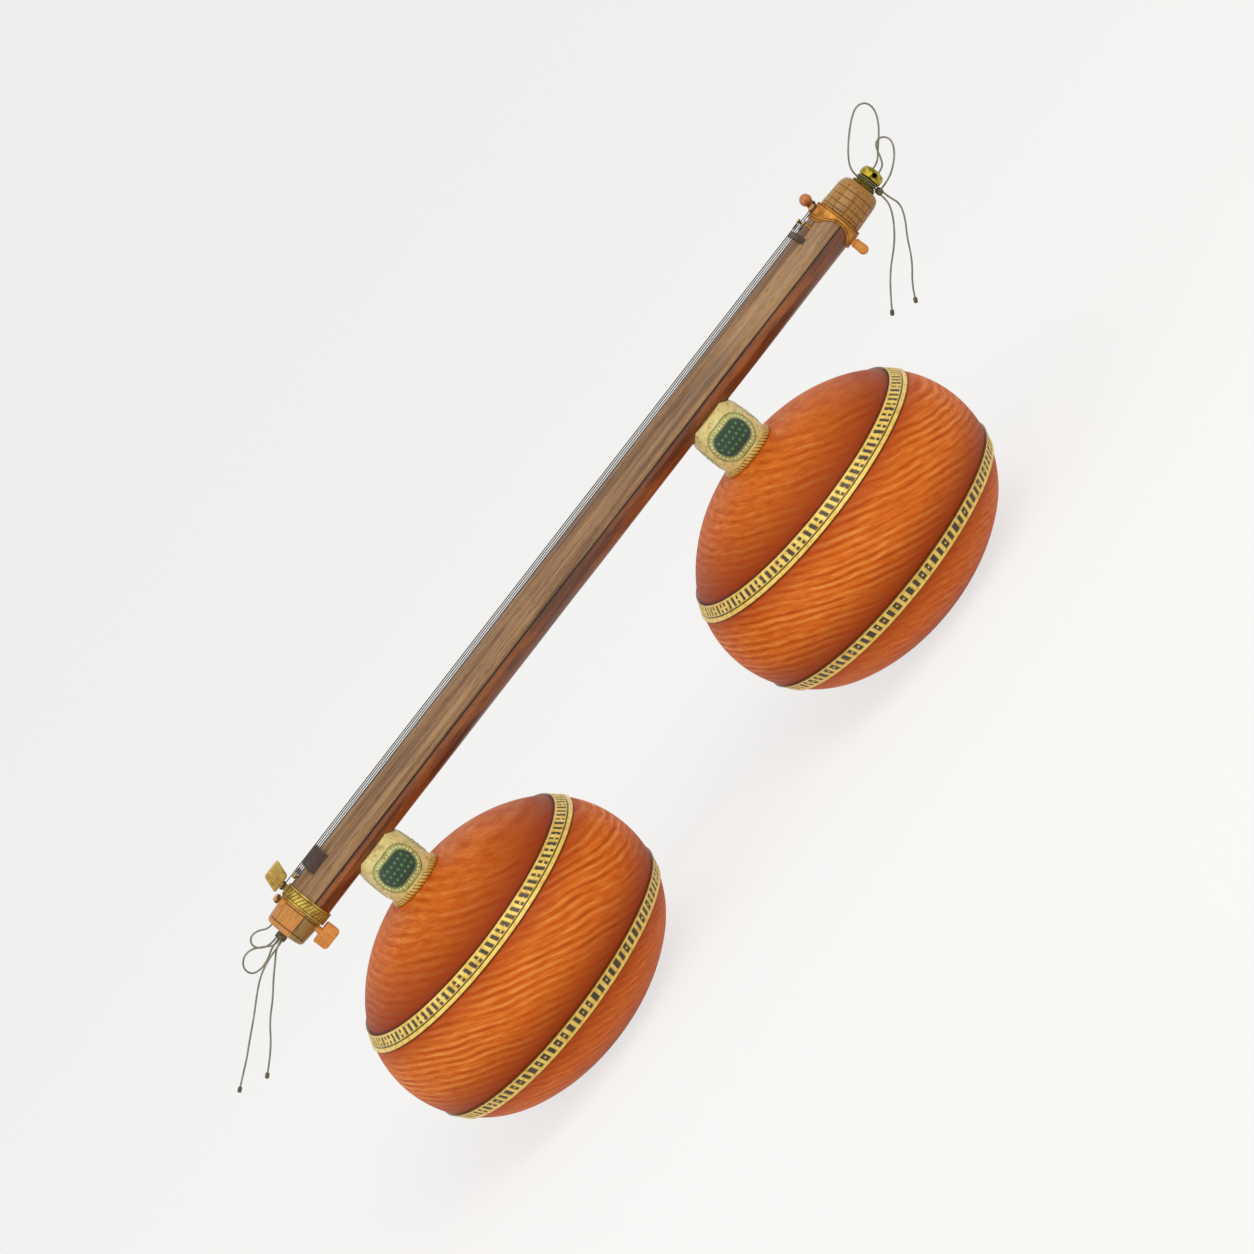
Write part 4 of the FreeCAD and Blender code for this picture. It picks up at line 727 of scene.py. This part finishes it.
t = np.linspace(0.0, 1.0, 26)
ease = np.clip(1 - np.abs(2 * t - 1) ** 14 * 0.16, 0, 1)
slanting = paddle_points(*PEGS["tail_upper"], 0.02875 + 0.0165 * t, 0.0100 * ease,
                         0.0035 * ease * (1 - 0.12 * t), 0.006 * t)
ease = np.sqrt(np.clip(1 - np.clip((t - 0.78) / 0.22, 0, 0.97) ** 2 * 0.42, 0, 1))
ease = ease * np.clip(0.9 + t * 4, 0, 1)
squarish = paddle_points(*PEGS["tail_lower"], -0.02455 - 0.0145 * t, 0.0115 * ease,
                         0.0035 * np.sqrt(ease), 0 * t)
flank = arc_points((-0.000525, 0.03325), 0.006525, -math.atan2(0.0045, 0.004725), 0.0, 10)
ball = arc_points((0.0, 0.03325), 0.0060, 0.0, math.pi / 2 - 0.05, 18)
bulb = np.concatenate([
    rounded([(0.0003, -0.0203), (PEG_R, -0.0203), (PEG_R, 0.02875), (0.0041, 0.02875)], 0.0004),
    flank, ball[1:]])
finger = np.concatenate([
    rounded([(0.0003, 0.02955), (PEG_R, 0.02955), (PEG_R, -0.02455), (0.0048, -0.02455), (0.0046, -0.0280),
             (0.0050, -0.0340)], 0.0006),
    arc_points((0.0, -0.03455), 0.0050, 0.0, 0.05 - math.pi / 2, 16)])
for peg, handle, profile, finish, slot in (
        ("tail_upper", [slanting], shaft(-0.0203, 0.0300, 0.0004), gilt_wood, "gilt_peg_wood"),
        ("tail_lower", [squarish], shaft(-0.0260, 0.02955, 0.0006), orange_wood, "orange_peg_wood"),
        ("head_upper", [], bulb, rose_wood, "rose_peg_wood"),
        ("head_lower", [], finger, orange_wood, "orange_peg_wood")):
    new_piece(peg + "_peg_piece", handle + [turned_z(profile, *PEGS[peg])], finish, peg + "_peg",
              peg + "_tuner")


# Strings: four steel wires 1 mm thick, old and browned. Each has a twisted eye on its hitch pin, runs over
# the bridge or the nut, and winds twice round its peg. The pins are small brass nails with flat heads.
STRING_RISE = 0.02505
STRING_Z = AXIS_Z + STRING_RISE
WIRE_R = 0.0005
EYE_R = 0.00195
WINDING_R = 0.00405
steel = grained_finish("drawn_steel_wire", ((60.0, 900.0, 900.0),),
                       [(0.3, "#3C3226"), (0.5, "#52463A"), (0.7, "#6A5E50")], 0.00002,
                       Metallic=0.8, Roughness=0.58)
pin_brass = grained_finish("turned_pin_brass", (700.0,), [(0.3, "#8E6A2C"), (0.6, "#D4AC58")], 0.00008,
                           Metallic=1.0, Roughness=0.32)

for word, peg, offset, pin_x in (
        ("first", "head_upper", 0.00445, -0.3730), ("second", "head_lower", -0.00445, -0.3730),
        ("third", "tail_upper", 0.01255, 0.3890), ("fourth", "tail_lower", -0.01255, 0.3890)):
    peg_x, peg_y = PEGS[peg]
    way = 1.0 if peg.startswith("head") else -1.0
    out = 1.0 if offset > peg_y else -1.0
    x = np.linspace(pin_x + way * EYE_R, peg_x - way * 0.00305, 220)[:, None]
    line = np.concatenate([x, offset + 0 * x, STRING_Z + 0 * x], axis=1)
    wire = tube_points(line, (0.0, 1.0, 0.0), WIRE_R, 10)
    turns = spiral((pin_x + way * 0.0030, offset, STRING_Z), 0.00085, 5, 140, way * 0.0011)
    twist = tube_points(*turns, 0.00036, 8)
    turn = round_about(40).T
    outwards = np.concatenate([np.cos(turn), np.sin(turn), 0 * turn], axis=1)
    outwards = np.concatenate([outwards[-1:], outwards, outwards[:1]])
    eye = tube_points(np.array((pin_x, offset, STRING_Z)) + EYE_R * outwards, outwards, WIRE_R, 10)[1:-1]
    new_piece(word + "_string_piece", [wire, twist], steel, word + "_string", rings=[eye])

    lead = np.linspace(-0.0030, 0.0, 8, endpoint=False)
    turn = np.linspace(0.0, 4 * math.pi, 120)
    x = np.concatenate([lead, WINDING_R * np.sin(turn)])
    y = np.concatenate([0 * lead + WINDING_R, WINDING_R * np.cos(turn)])
    z = np.concatenate([lead * 0.057, turn / (2 * math.pi) * 0.00145])
    line = np.stack([peg_x + way * x, peg_y + out * y, STRING_Z + z], axis=1)
    new_piece(peg + "_winding_piece", [tube_points(line, (0.0, 0.0, 1.0), WIRE_R, 10)], steel,
              peg + "_winding", peg + "_tuner")

    foot = math.sqrt(NECK_R ** 2 - offset ** 2) - 0.0040
    profile = rounded([(0.0002, foot), (0.00125, foot), (0.00125, 0.02575), (0.0024, 0.02575),
                       (0.0024, 0.0264), (0.0012, 0.02675), (0.0002, 0.02675)], 0.0003)
    new_piece(word + "_pin_piece", [turned_z(profile, pin_x, offset, 28)], pin_brass,
              word + "_hitch_pin")


# Bridge and nut: saddles of dark hardwood glued on the crown of the stick. The bridge is long and low with
# a gently domed top, and the nut is a thin block with a notch for each string.
saddle_wood = grained_finish("dark_saddle_hardwood", ((900.0, 90.0, 900.0), 4.0, 0.6, 0.3),
                             [(0.32, "#22130C"), (0.5, "#3C2416"), (0.68, "#5A3A24")], 0.0002,
                             Roughness=0.4, IOR=1.5)


def saddle_points(start_x, length, top, notches):
    """A section across the stick carried along X: its foot follows the stick's round crown, its sides are
    upright and its shoulders are eased. The ends are eased too, and each notch is a half circle."""
    half = 0.0160
    across = np.linspace(-half, half, 161)
    foot = np.sqrt(0.02205 ** 2 - across ** 2)
    shoulder = np.clip((np.abs(across) - (half - 0.002)) / 0.002, 0, 1)
    roof = top - 0.0020 * shoulder ** 2
    for notch in notches:
        depth = np.sqrt(np.clip(0.0007 ** 2 - (across - notch) ** 2, 0, None))
        roof = np.where(depth > 0, np.minimum(roof, STRING_RISE - depth), roof)
    t = np.linspace(0.0, 1.0, 33)
    ends = 0.0006 * np.clip(1 - np.minimum(t, 1 - t) * length / 0.0006, 0, 1) ** 2
    z = AXIS_Z + np.concatenate([roof - ends[:, None], foot[::-1] + 0 * ends[:, None]], axis=1)
    x = np.broadcast_to(start_x + length * t[:, None], z.shape)
    y = np.broadcast_to(np.concatenate([across, across[::-1]]), z.shape)
    return np.stack([x, y, z], axis=-1)


notches = (-0.01255, -0.00445, 0.00445, 0.01255)
for name, points, node in (("low_bridge", saddle_points(-0.3605, 0.0220, 0.02435, ()), "bridge"),
                           ("notched_nut", saddle_points(0.3720, 0.0060, STRING_RISE, notches), "nut")):
    new_piece(name, [points], saddle_wood, node)


# Gourds: two dried shells 320 mm across with walls of 6 mm, lacquered orange over fine short brush strokes,
# with painted shade in deep red-brown above each band. The blossom end is a dimple underneath.
GOURD_X = {"lower": -0.309, "upper": 0.193}
BELLY = np.array((0.055, 0.113))
BELLY_R = 0.105
FOOT_R = 0.048
FOOT_CURVE = 0.175
CROWN_CURVE = 0.160
CROWN_EDGE = 0.031783
GOURD_TOP = 0.230
MOUTH_R = 0.0223
WALL = 0.006
DIMPLE_R = 0.020
DIMPLE_DEEP = 0.005


def outline_arc(belly_r, point, radius):
    """Centre of the arc that ends at the point and meets the belly's circle smoothly: radius - belly_r from
    the belly's centre and radius from the point, on the side nearer the gourd's axis."""
    apart = point - BELLY
    distance = np.linalg.norm(apart)
    inner = radius - belly_r
    along = (inner ** 2 - radius ** 2 + distance ** 2) / (2 * distance)
    across = math.sqrt(inner ** 2 - along ** 2)
    forward = apart / distance
    sideways = np.array((-forward[1], forward[0]))
    choices = [BELLY + forward * along + sideways * across, BELLY + forward * along - sideways * across]
    return min(choices, key=lambda centre: centre[0])


def gourd_outline(grow, crown_z, foot_z, count):
    """Foot arc, belly arc and crown arc, from the foot up, as (radius, height)."""
    belly_r = BELLY_R + grow
    foot_r = FOOT_CURVE + grow
    crown_r = CROWN_CURVE + grow
    foot_point = np.array((FOOT_R, foot_z))
    crown_point = np.array((CROWN_EDGE, crown_z))
    foot = outline_arc(belly_r, foot_point, foot_r)
    crown = outline_arc(belly_r, crown_point, crown_r)
    first, low, high, last = [math.atan2(*way[::-1]) for way in (
        foot_point - foot, BELLY - foot, BELLY - crown, crown_point - crown)]
    return np.concatenate([
        arc_points(foot, foot_r, first, low, count)[:-1],
        arc_points(BELLY, belly_r, low, high, count * 2)[:-1],
        arc_points(crown, crown_r, high, last, count)])


def gourd_points(x, sides):
    """The shell's profile turned round its axis: dimple, foot, outside, crown, mouth and inside again."""
    dimple_r = np.linspace(POLE_R, DIMPLE_R, 14)
    bend = (DIMPLE_R ** 2 - DIMPLE_DEEP ** 2) / (2 * DIMPLE_DEEP)
    dimple = np.stack([dimple_r, np.sqrt((bend + DIMPLE_DEEP) ** 2 - dimple_r ** 2) - bend], axis=1)
    flat = np.stack([np.linspace(DIMPLE_R, FOOT_R, 8), np.zeros(8)], axis=1)[1:-1]
    mouth = [(0.028, GOURD_TOP), (MOUTH_R, GOURD_TOP), (MOUTH_R, GOURD_TOP - WALL)]
    floor_z = DIMPLE_DEEP + WALL
    inside = gourd_outline(-WALL, GOURD_TOP - WALL, floor_z, 12)[::-1]
    outside = gourd_outline(0.0, GOURD_TOP, 0.0, 36)
    profile = np.concatenate([dimple, flat, outside, mouth, inside, [(POLE_R, floor_z)]])
    angle = round_about(sides)
    r = profile[:, :1]
    z = np.broadcast_to(profile[:, 1:], (len(profile), sides))
    return np.stack([x + r * np.cos(angle), r * np.sin(angle), z], axis=-1)


# Brushed lacquer: a satin skin hatched with a fine brush. Darker strokes 7 mm apart lie in planes that fall
# towards the head by 28 degrees, waver a little and fade after 30 to 90 mm. They are strongest between the
# bands. It gives a warm orange with faint dark lines, amber between them, and almost no mirror shine.
STROKE_GAP = 0.007
lacquer, tree, shader = new_finish("brushed_orange_lacquer", IOR=1.42, Specular_IOR_Level=0.18)
place = add(tree, "TexCoord").node.outputs["Object"]
height_z = add(tree, "SeparateXYZ", {0: place}).node.outputs[2]
wander = add(tree, "TexNoise", {"Vector": place, "Scale": 11.0, "Detail": 2.0}).node.outputs["Color"]
shift = add(tree, "VectorMath", {0: wander, 1: (0.015, 0.015, 0.015)}, operation="MULTIPLY")
lean = add(tree, "Mapping", {"Vector": place, "Rotation": (0, math.radians(-28.0), 0)})
led = add(tree, "VectorMath", {0: lean, 1: shift}, operation="ADD")
across = add(tree, "SeparateXYZ", {0: led}).node.outputs[2]
wave = add(tree, "Math", {0: across, 1: 2 * math.pi / STROKE_GAP}, operation="MULTIPLY")
wave = add(tree, "Math", {0: wave}, operation="COSINE")
ends = speckle(tree, (16.0, 16.0, 150.0), 1.0, vector=led)
pressed = add(tree, "MapRange", {0: ends, 1: 0.38, 2: 0.62, 3: 0.15, 4: 1.0})
foot_zone = add(tree, "MapRange", {0: height_z, 1: 0.045, 2: 0.080, 3: 0.3, 4: 1.0})
crown_zone = add(tree, "MapRange", {0: height_z, 1: 0.180, 2: 0.220, 3: 1.0, 4: 0.5})
line = 0.13
for part in (wave, pressed, foot_zone, crown_zone):
    line = add(tree, "Math", {0: line, 1: part}, operation="MULTIPLY")
fine = speckle(tree, (60.0, 60.0, 480.0), 3.0, 0.65, vector=led)
fine = add(tree, "Math", {0: fine, 1: 0.45, 2: 0.275}, operation="MULTIPLY_ADD")
depth = add(tree, "Math", {0: fine, 1: line}, operation="ADD")
colour = add(tree, "ValToRGB", {0: depth},
             [(0.34, "#C0500E"), (0.44, "#D86416"), (0.54, "#E87A26"), (0.66, "#F49A48")])
clouds = add(tree, "ValToRGB", {0: speckle(tree, 14.0)}, [(0.3, "#454545"), (0.7, "#000000")])
colour = layered(tree, colour, (clouds, "#CC5A18"))
broken = add(tree, "Math", {0: depth, 1: 0.9, 2: 0.55}, operation="MULTIPLY_ADD")


def beside(rise, spread, most):
    """The share of a shade that is deepest where the rise is 0 and fades out over the spread, broken up by
    the strokes."""
    fade = add(tree, "MapRange", {0: rise, 1: 0.0, 2: spread, 3: most, 4: 0.0})
    on = add(tree, "Math", {0: rise, 1: -0.004}, operation="GREATER_THAN")
    fade = add(tree, "Math", {0: fade, 1: on}, operation="MULTIPLY")
    return add(tree, "Math", {0: fade, 1: broken}, operation="MULTIPLY", use_clamp=True)


# Painted shade fades out over about 40 mm above each band and 20 mm below it, and a dark line edges the
# gilding.
for low_edge, high_edge, spread in ((0.165, 0.179, 0.042), (0.061, 0.075, 0.040)):
    above = add(tree, "Math", {0: height_z, 1: high_edge}, operation="SUBTRACT")
    below = add(tree, "Math", {0: low_edge, 1: height_z}, operation="SUBTRACT")
    colour = layered(
        tree, colour, (beside(above, spread, 0.92), "#8E2C02"), (beside(below, 0.020, 0.65), "#A8360C"),
        (beside(above, 0.0022, 0.9), "#4A1A08"), (beside(below, 0.0022, 0.9), "#4A1A08"))
rough = add(tree, "MapRange", {0: depth, 1: 0.3, 2: 0.7, 3: 0.6, 4: 0.46})
finish_off(tree, shader, colour, depth, 0.00008, rough)

for which, x in GOURD_X.items():
    new_piece(which + "_shell", [gourd_points(x, 240)], lacquer, which + "_gourd")


# Bands: strips of pale gilding 14 mm wide and nearly 2 mm thick, laid round each gourd and carved with
# ticks and checks between plain borders. The cut parts are blacked.
BANDS = {"upper": (0.172, 112), "lower": (0.068, 104)}
BAND_HALF = 0.0069
leaf = painted_finish(
    "carved_gilt_strip", (160.0, 4.0), [(0.3, "#D9B35A"), (0.5, "#FFF0C8"), (0.7, "#FFFFFF")], 0.85,
    (700.0, 2.0), 0.00015, Metallic=0.12, Roughness=0.42, Coat_Weight=0.15)


def band_marks(level, across, around):
    """How deep the pattern is cut, from 0 to 1. Across runs from -1 at the foot's side to 1, and around
    counts the marks. Ticks slant on the upper band, and checks stand square on the lower one."""
    number = np.floor(around)
    vary = 0.5 + 0.5 * np.sin(number * 2.399) * np.cos(number * 0.7)
    part = around - number
    if level == "upper":
        slant = (part + 0.22 * across + 0.1 * vary) % 1.0
        tick = np.clip((0.62 - 0.12 * vary - slant) / 0.06, 0, 1) * np.clip(slant / 0.06, 0, 1)
        field = np.clip((across + 0.28) / 0.08, 0, 1) * np.clip((0.80 - across) / 0.08, 0, 1)
        gap = 1 - np.clip((0.13 - np.abs(across - 0.26 + 0.2 * (vary - 0.5))) / 0.05, 0, 1) * (vary > 0.62)
        line = np.clip((0.07 - np.abs(across + 0.42)) / 0.03, 0, 1)
        return np.maximum(tick * field * gap, line)
    half = np.where(number % 2 > 0, 0.27, 0.35)
    check = np.clip((half - np.abs(part - 0.5)) / 0.05, 0, 1)
    field = np.clip((across + 0.68) / 0.08, 0, 1) * np.clip((0.68 - across) / 0.08, 0, 1)
    heart = np.clip((0.16 - np.hypot((part - 0.5) * 1.1, across * 0.9)) / 0.05, 0, 1) * (vary > 0.5)
    return check * field * (1 - heart)


theta = round_about(1240)
across = np.concatenate([[-1.0], np.linspace(-1.0, 1.0, 27), [1.0]])[:, None]
rim = np.clip((np.abs(across) - 0.80) / 0.06, 0, 1)
edge = np.clip((np.abs(across) - 0.93) / 0.05, 0, 1)
for which, x in GOURD_X.items():
    for level, (middle, count) in BANDS.items():
        cut = band_marks(level, across, theta / (2 * math.pi) * count)
        lift = 0.00145 + 0.0004 * rim - 0.0008 * cut
        lift[[0, -1]] = 0.00005
        tilt = np.arcsin((middle + BAND_HALF * across - BELLY[1]) / (BELLY_R + 0.001))
        r = BELLY[0] + (BELLY_R + lift) * np.cos(tilt)
        z = BELLY[1] + (BELLY_R + lift) * np.sin(tilt)
        points = np.stack([x + r * np.cos(theta), r * np.sin(theta), z], axis=-1)
        shares = [np.broadcast_to(edge, cut.shape) * 0.85, cut * 0.96]
        new_piece(f"{which}_{level}_strip", [], leaf, f"{which}_gourd_{level}_band", rings=[points],
                  colours=tint(shares, "#FBE27A", "#6A3E12", "#1E1208"))


# Collars: turned wooden bells between the gourds and the stick, saddled to its round underside. Each is
# painted cream-gold with three panels: an olive line, a row of raised beads and a dark green heart.
PANEL_HALF = np.array((0.0265, 0.0200))
PANEL_ROUND = 0.0185
PANEL_Z = 0.2578
BEAD_R = 0.0015
SADDLE_R = 0.0222
collar_paint = painted_finish(
    "painted_collar_wood", (220.0, 4.0), [(0.3, "#B9A27A"), (0.48, "#F4EEDC"), (0.7, "#FFFFFF")], 0.8,
    ((350.0, 350.0, 1200.0), 2.0), 0.0002, Roughness=0.4, Coat_Weight=0.3, Coat_Roughness=0.2)


def panel_depth(u, v):
    """How far inside a rounded rectangle a point lies, in metres, less than 0 outside it."""
    corner = np.stack([np.abs(u) - PANEL_HALF[0] + PANEL_ROUND, np.abs(v) - PANEL_HALF[1] + PANEL_ROUND])
    outside = np.hypot(*np.maximum(corner, 0))
    return PANEL_ROUND - outside - np.minimum(np.maximum(corner[0], corner[1]), 0)


def panel_beads(inset, pitch):
    """Bead centres at an even pitch along the rounded rectangle that lies an inset inside the panel."""
    turn = np.linspace(0.0, 2 * math.pi, 4001)
    bend = PANEL_ROUND - inset
    side = PANEL_HALF - PANEL_ROUND
    u = np.sign(np.cos(turn)) * side[0] + bend * np.cos(turn)
    v = np.sign(np.sin(turn)) * side[1] + bend * np.sin(turn)
    far = np.concatenate([[0.0], np.cumsum(np.hypot(np.diff(u), np.diff(v)))])
    count = int(far[-1] / pitch)
    places = np.arange(count) * far[-1] / count
    return np.interp(places, far, u), np.interp(places, far, v)


def beads_at(u, v, centres):
    """Half balls at the centres: the square root of 1 - (distance / radius)^2, and 0 between them."""
    apart = np.min(np.hypot(u[..., None] - centres[0], v[..., None] - centres[1]), axis=-1)
    return np.sqrt(np.clip(1 - (apart / BEAD_R) ** 2, 0, 1))


def line_at(depth, middle, width):
    """1 within half the width of the middle and 0 beyond, over 0.3 mm."""
    return np.clip((width / 2 - np.abs(depth - middle)) / 0.0003 + 0.5, 0, 1)


theta = round_about(300)
rise = np.linspace(0.2301, 0.2790, 110)
bell = np.stack([-0.0810 + np.sqrt(0.110 ** 2 - (rise - 0.2545) ** 2), rise], axis=1)
start = [(POLE_R, 0.2082), (0.0215, 0.2082), (0.0220, 0.2087), (0.0220, 0.2300), (0.0259, 0.2300)]
brow = np.stack([np.linspace(0.0261, 0.0248, 12), np.linspace(0.2795, 0.2860, 12)], axis=1)
top = np.stack([np.linspace(0.0243, POLE_R, 30), np.full(30, 0.2860)], axis=1)
profile = np.concatenate([start, bell, brow, top])
r, height = profile[:, :1], profile[:, 1:]
third = 2 * math.pi / 3
u, v = np.broadcast_arrays(((theta + math.pi / 2 + third / 2) % third - third / 2) * 0.0285, height - PANEL_Z)
on_bell = (height > 0.2305) & (height < 0.2788) & (r > 0.025)
deep = panel_depth(u, v)
bead = beads_at(u, v, panel_beads(0.0044, 0.0036)) * on_bell
middle_row = np.arange(-3, 4) * 0.0052
outer_row = np.arange(-2.5, 3) * 0.0052
dots = (np.concatenate([middle_row, outer_row, outer_row]),
        np.concatenate([0 * middle_row, 0 * outer_row + 0.0062, 0 * outer_row - 0.0062]))
dot = beads_at(u, v, dots) * on_bell * (deep > 0.0070)
olive = line_at(deep, 0.0012, 0.0013) * on_bell
trench = line_at(deep, 0.0044, 0.0038) * on_bell
inner = line_at(deep, 0.0067, 0.0008) * on_bell
heart = np.clip((deep - 0.0071) / 0.0003, 0, 1) * on_bell
r = r + 0.0006 * bead + 0.0004 * dot - 0.0004 * olive - 0.0003 * trench - 0.0004 * heart
y = r * np.sin(theta)
saddle = AXIS_Z - np.sqrt(np.clip(SADDLE_R ** 2 - y ** 2, 0, None))
z = np.where(np.abs(y) < SADDLE_R, np.minimum(height, saddle), height)
colours = tint([trench, bead, olive, inner, heart, dot],
               "#F0E49C", "#A3BE68", "#FAF3BE", "#7C8A34", "#3F6A34", "#0F3A22", "#4F9A58")
for which, middle in GOURD_X.items():
    points = np.stack([middle + r * np.cos(theta), y, z], axis=-1)
    new_piece(which + "_bell", [points], collar_paint, which + "_collar", colours=colours)


# Collar rings: gilt beads with a narrow flat above and below, cut with slanting nicks like a rope. They hide
# the joint between each collar and its gourd.
angle = round_about(480)
bend = np.linspace(math.pi / 2, -math.pi / 2, 17)
section = np.concatenate([
    [(0.02750, 0.0001), (0.02750, 0.0059)],
    np.stack([0.02845 + 0.0018 * np.cos(bend), 0.0030 + 0.0029 * np.sin(bend)], axis=1)])
rope = np.abs(((angle / (2 * math.pi) * 48 + section[:, 1:] * 180) % 1.0) - 0.5) * 0.0039
nick = groove(rope, 0.0014) * (section[:, :1] > 0.0288)
r = section[:, :1] - 0.0006 * nick
z = np.broadcast_to(GOURD_TOP + section[:, 1:], r.shape)
for which, middle in GOURD_X.items():
    points = np.stack([middle + r * np.cos(angle), r * np.sin(angle), z], axis=-1)
    new_piece(which + "_rope_ring", [], leaf, which + "_collar_ring", rings=[points],
              colours=tint([nick * 0.9], "#DDBB5A", "#3A220C"))


# Fastenings inside: a glued lock ring and a hardwood pad of plain sawn wood, and a black steel bolt and
# nut. They are hidden in the gourds and the stick, and keep their solids.
sawn = grained_finish("plain_sawn_wood", ((60.0, 400.0, 400.0), 4.0), [(0.3, "#9C7A52"), (0.7, "#CDB086")],
                      0.0003, Roughness=0.7)
bolt_steel = grained_finish("blacked_bolt_steel", (500.0,), [(0.3, "#3A3A3A"), (0.7, "#6A6866")], 0.0001,
                            Metallic=1.0, Roughness=0.45)
for which in GOURD_X:
    for part, finish in (
            ("lock_ring", sawn), ("bolt_pad", sawn), ("bolt", bolt_steel), ("bolt_nut", bolt_steel)):
        solid = nodes[f"{which}_{part}"].data
        solid.materials.clear()
        solid.materials.append(finish)

low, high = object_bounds()
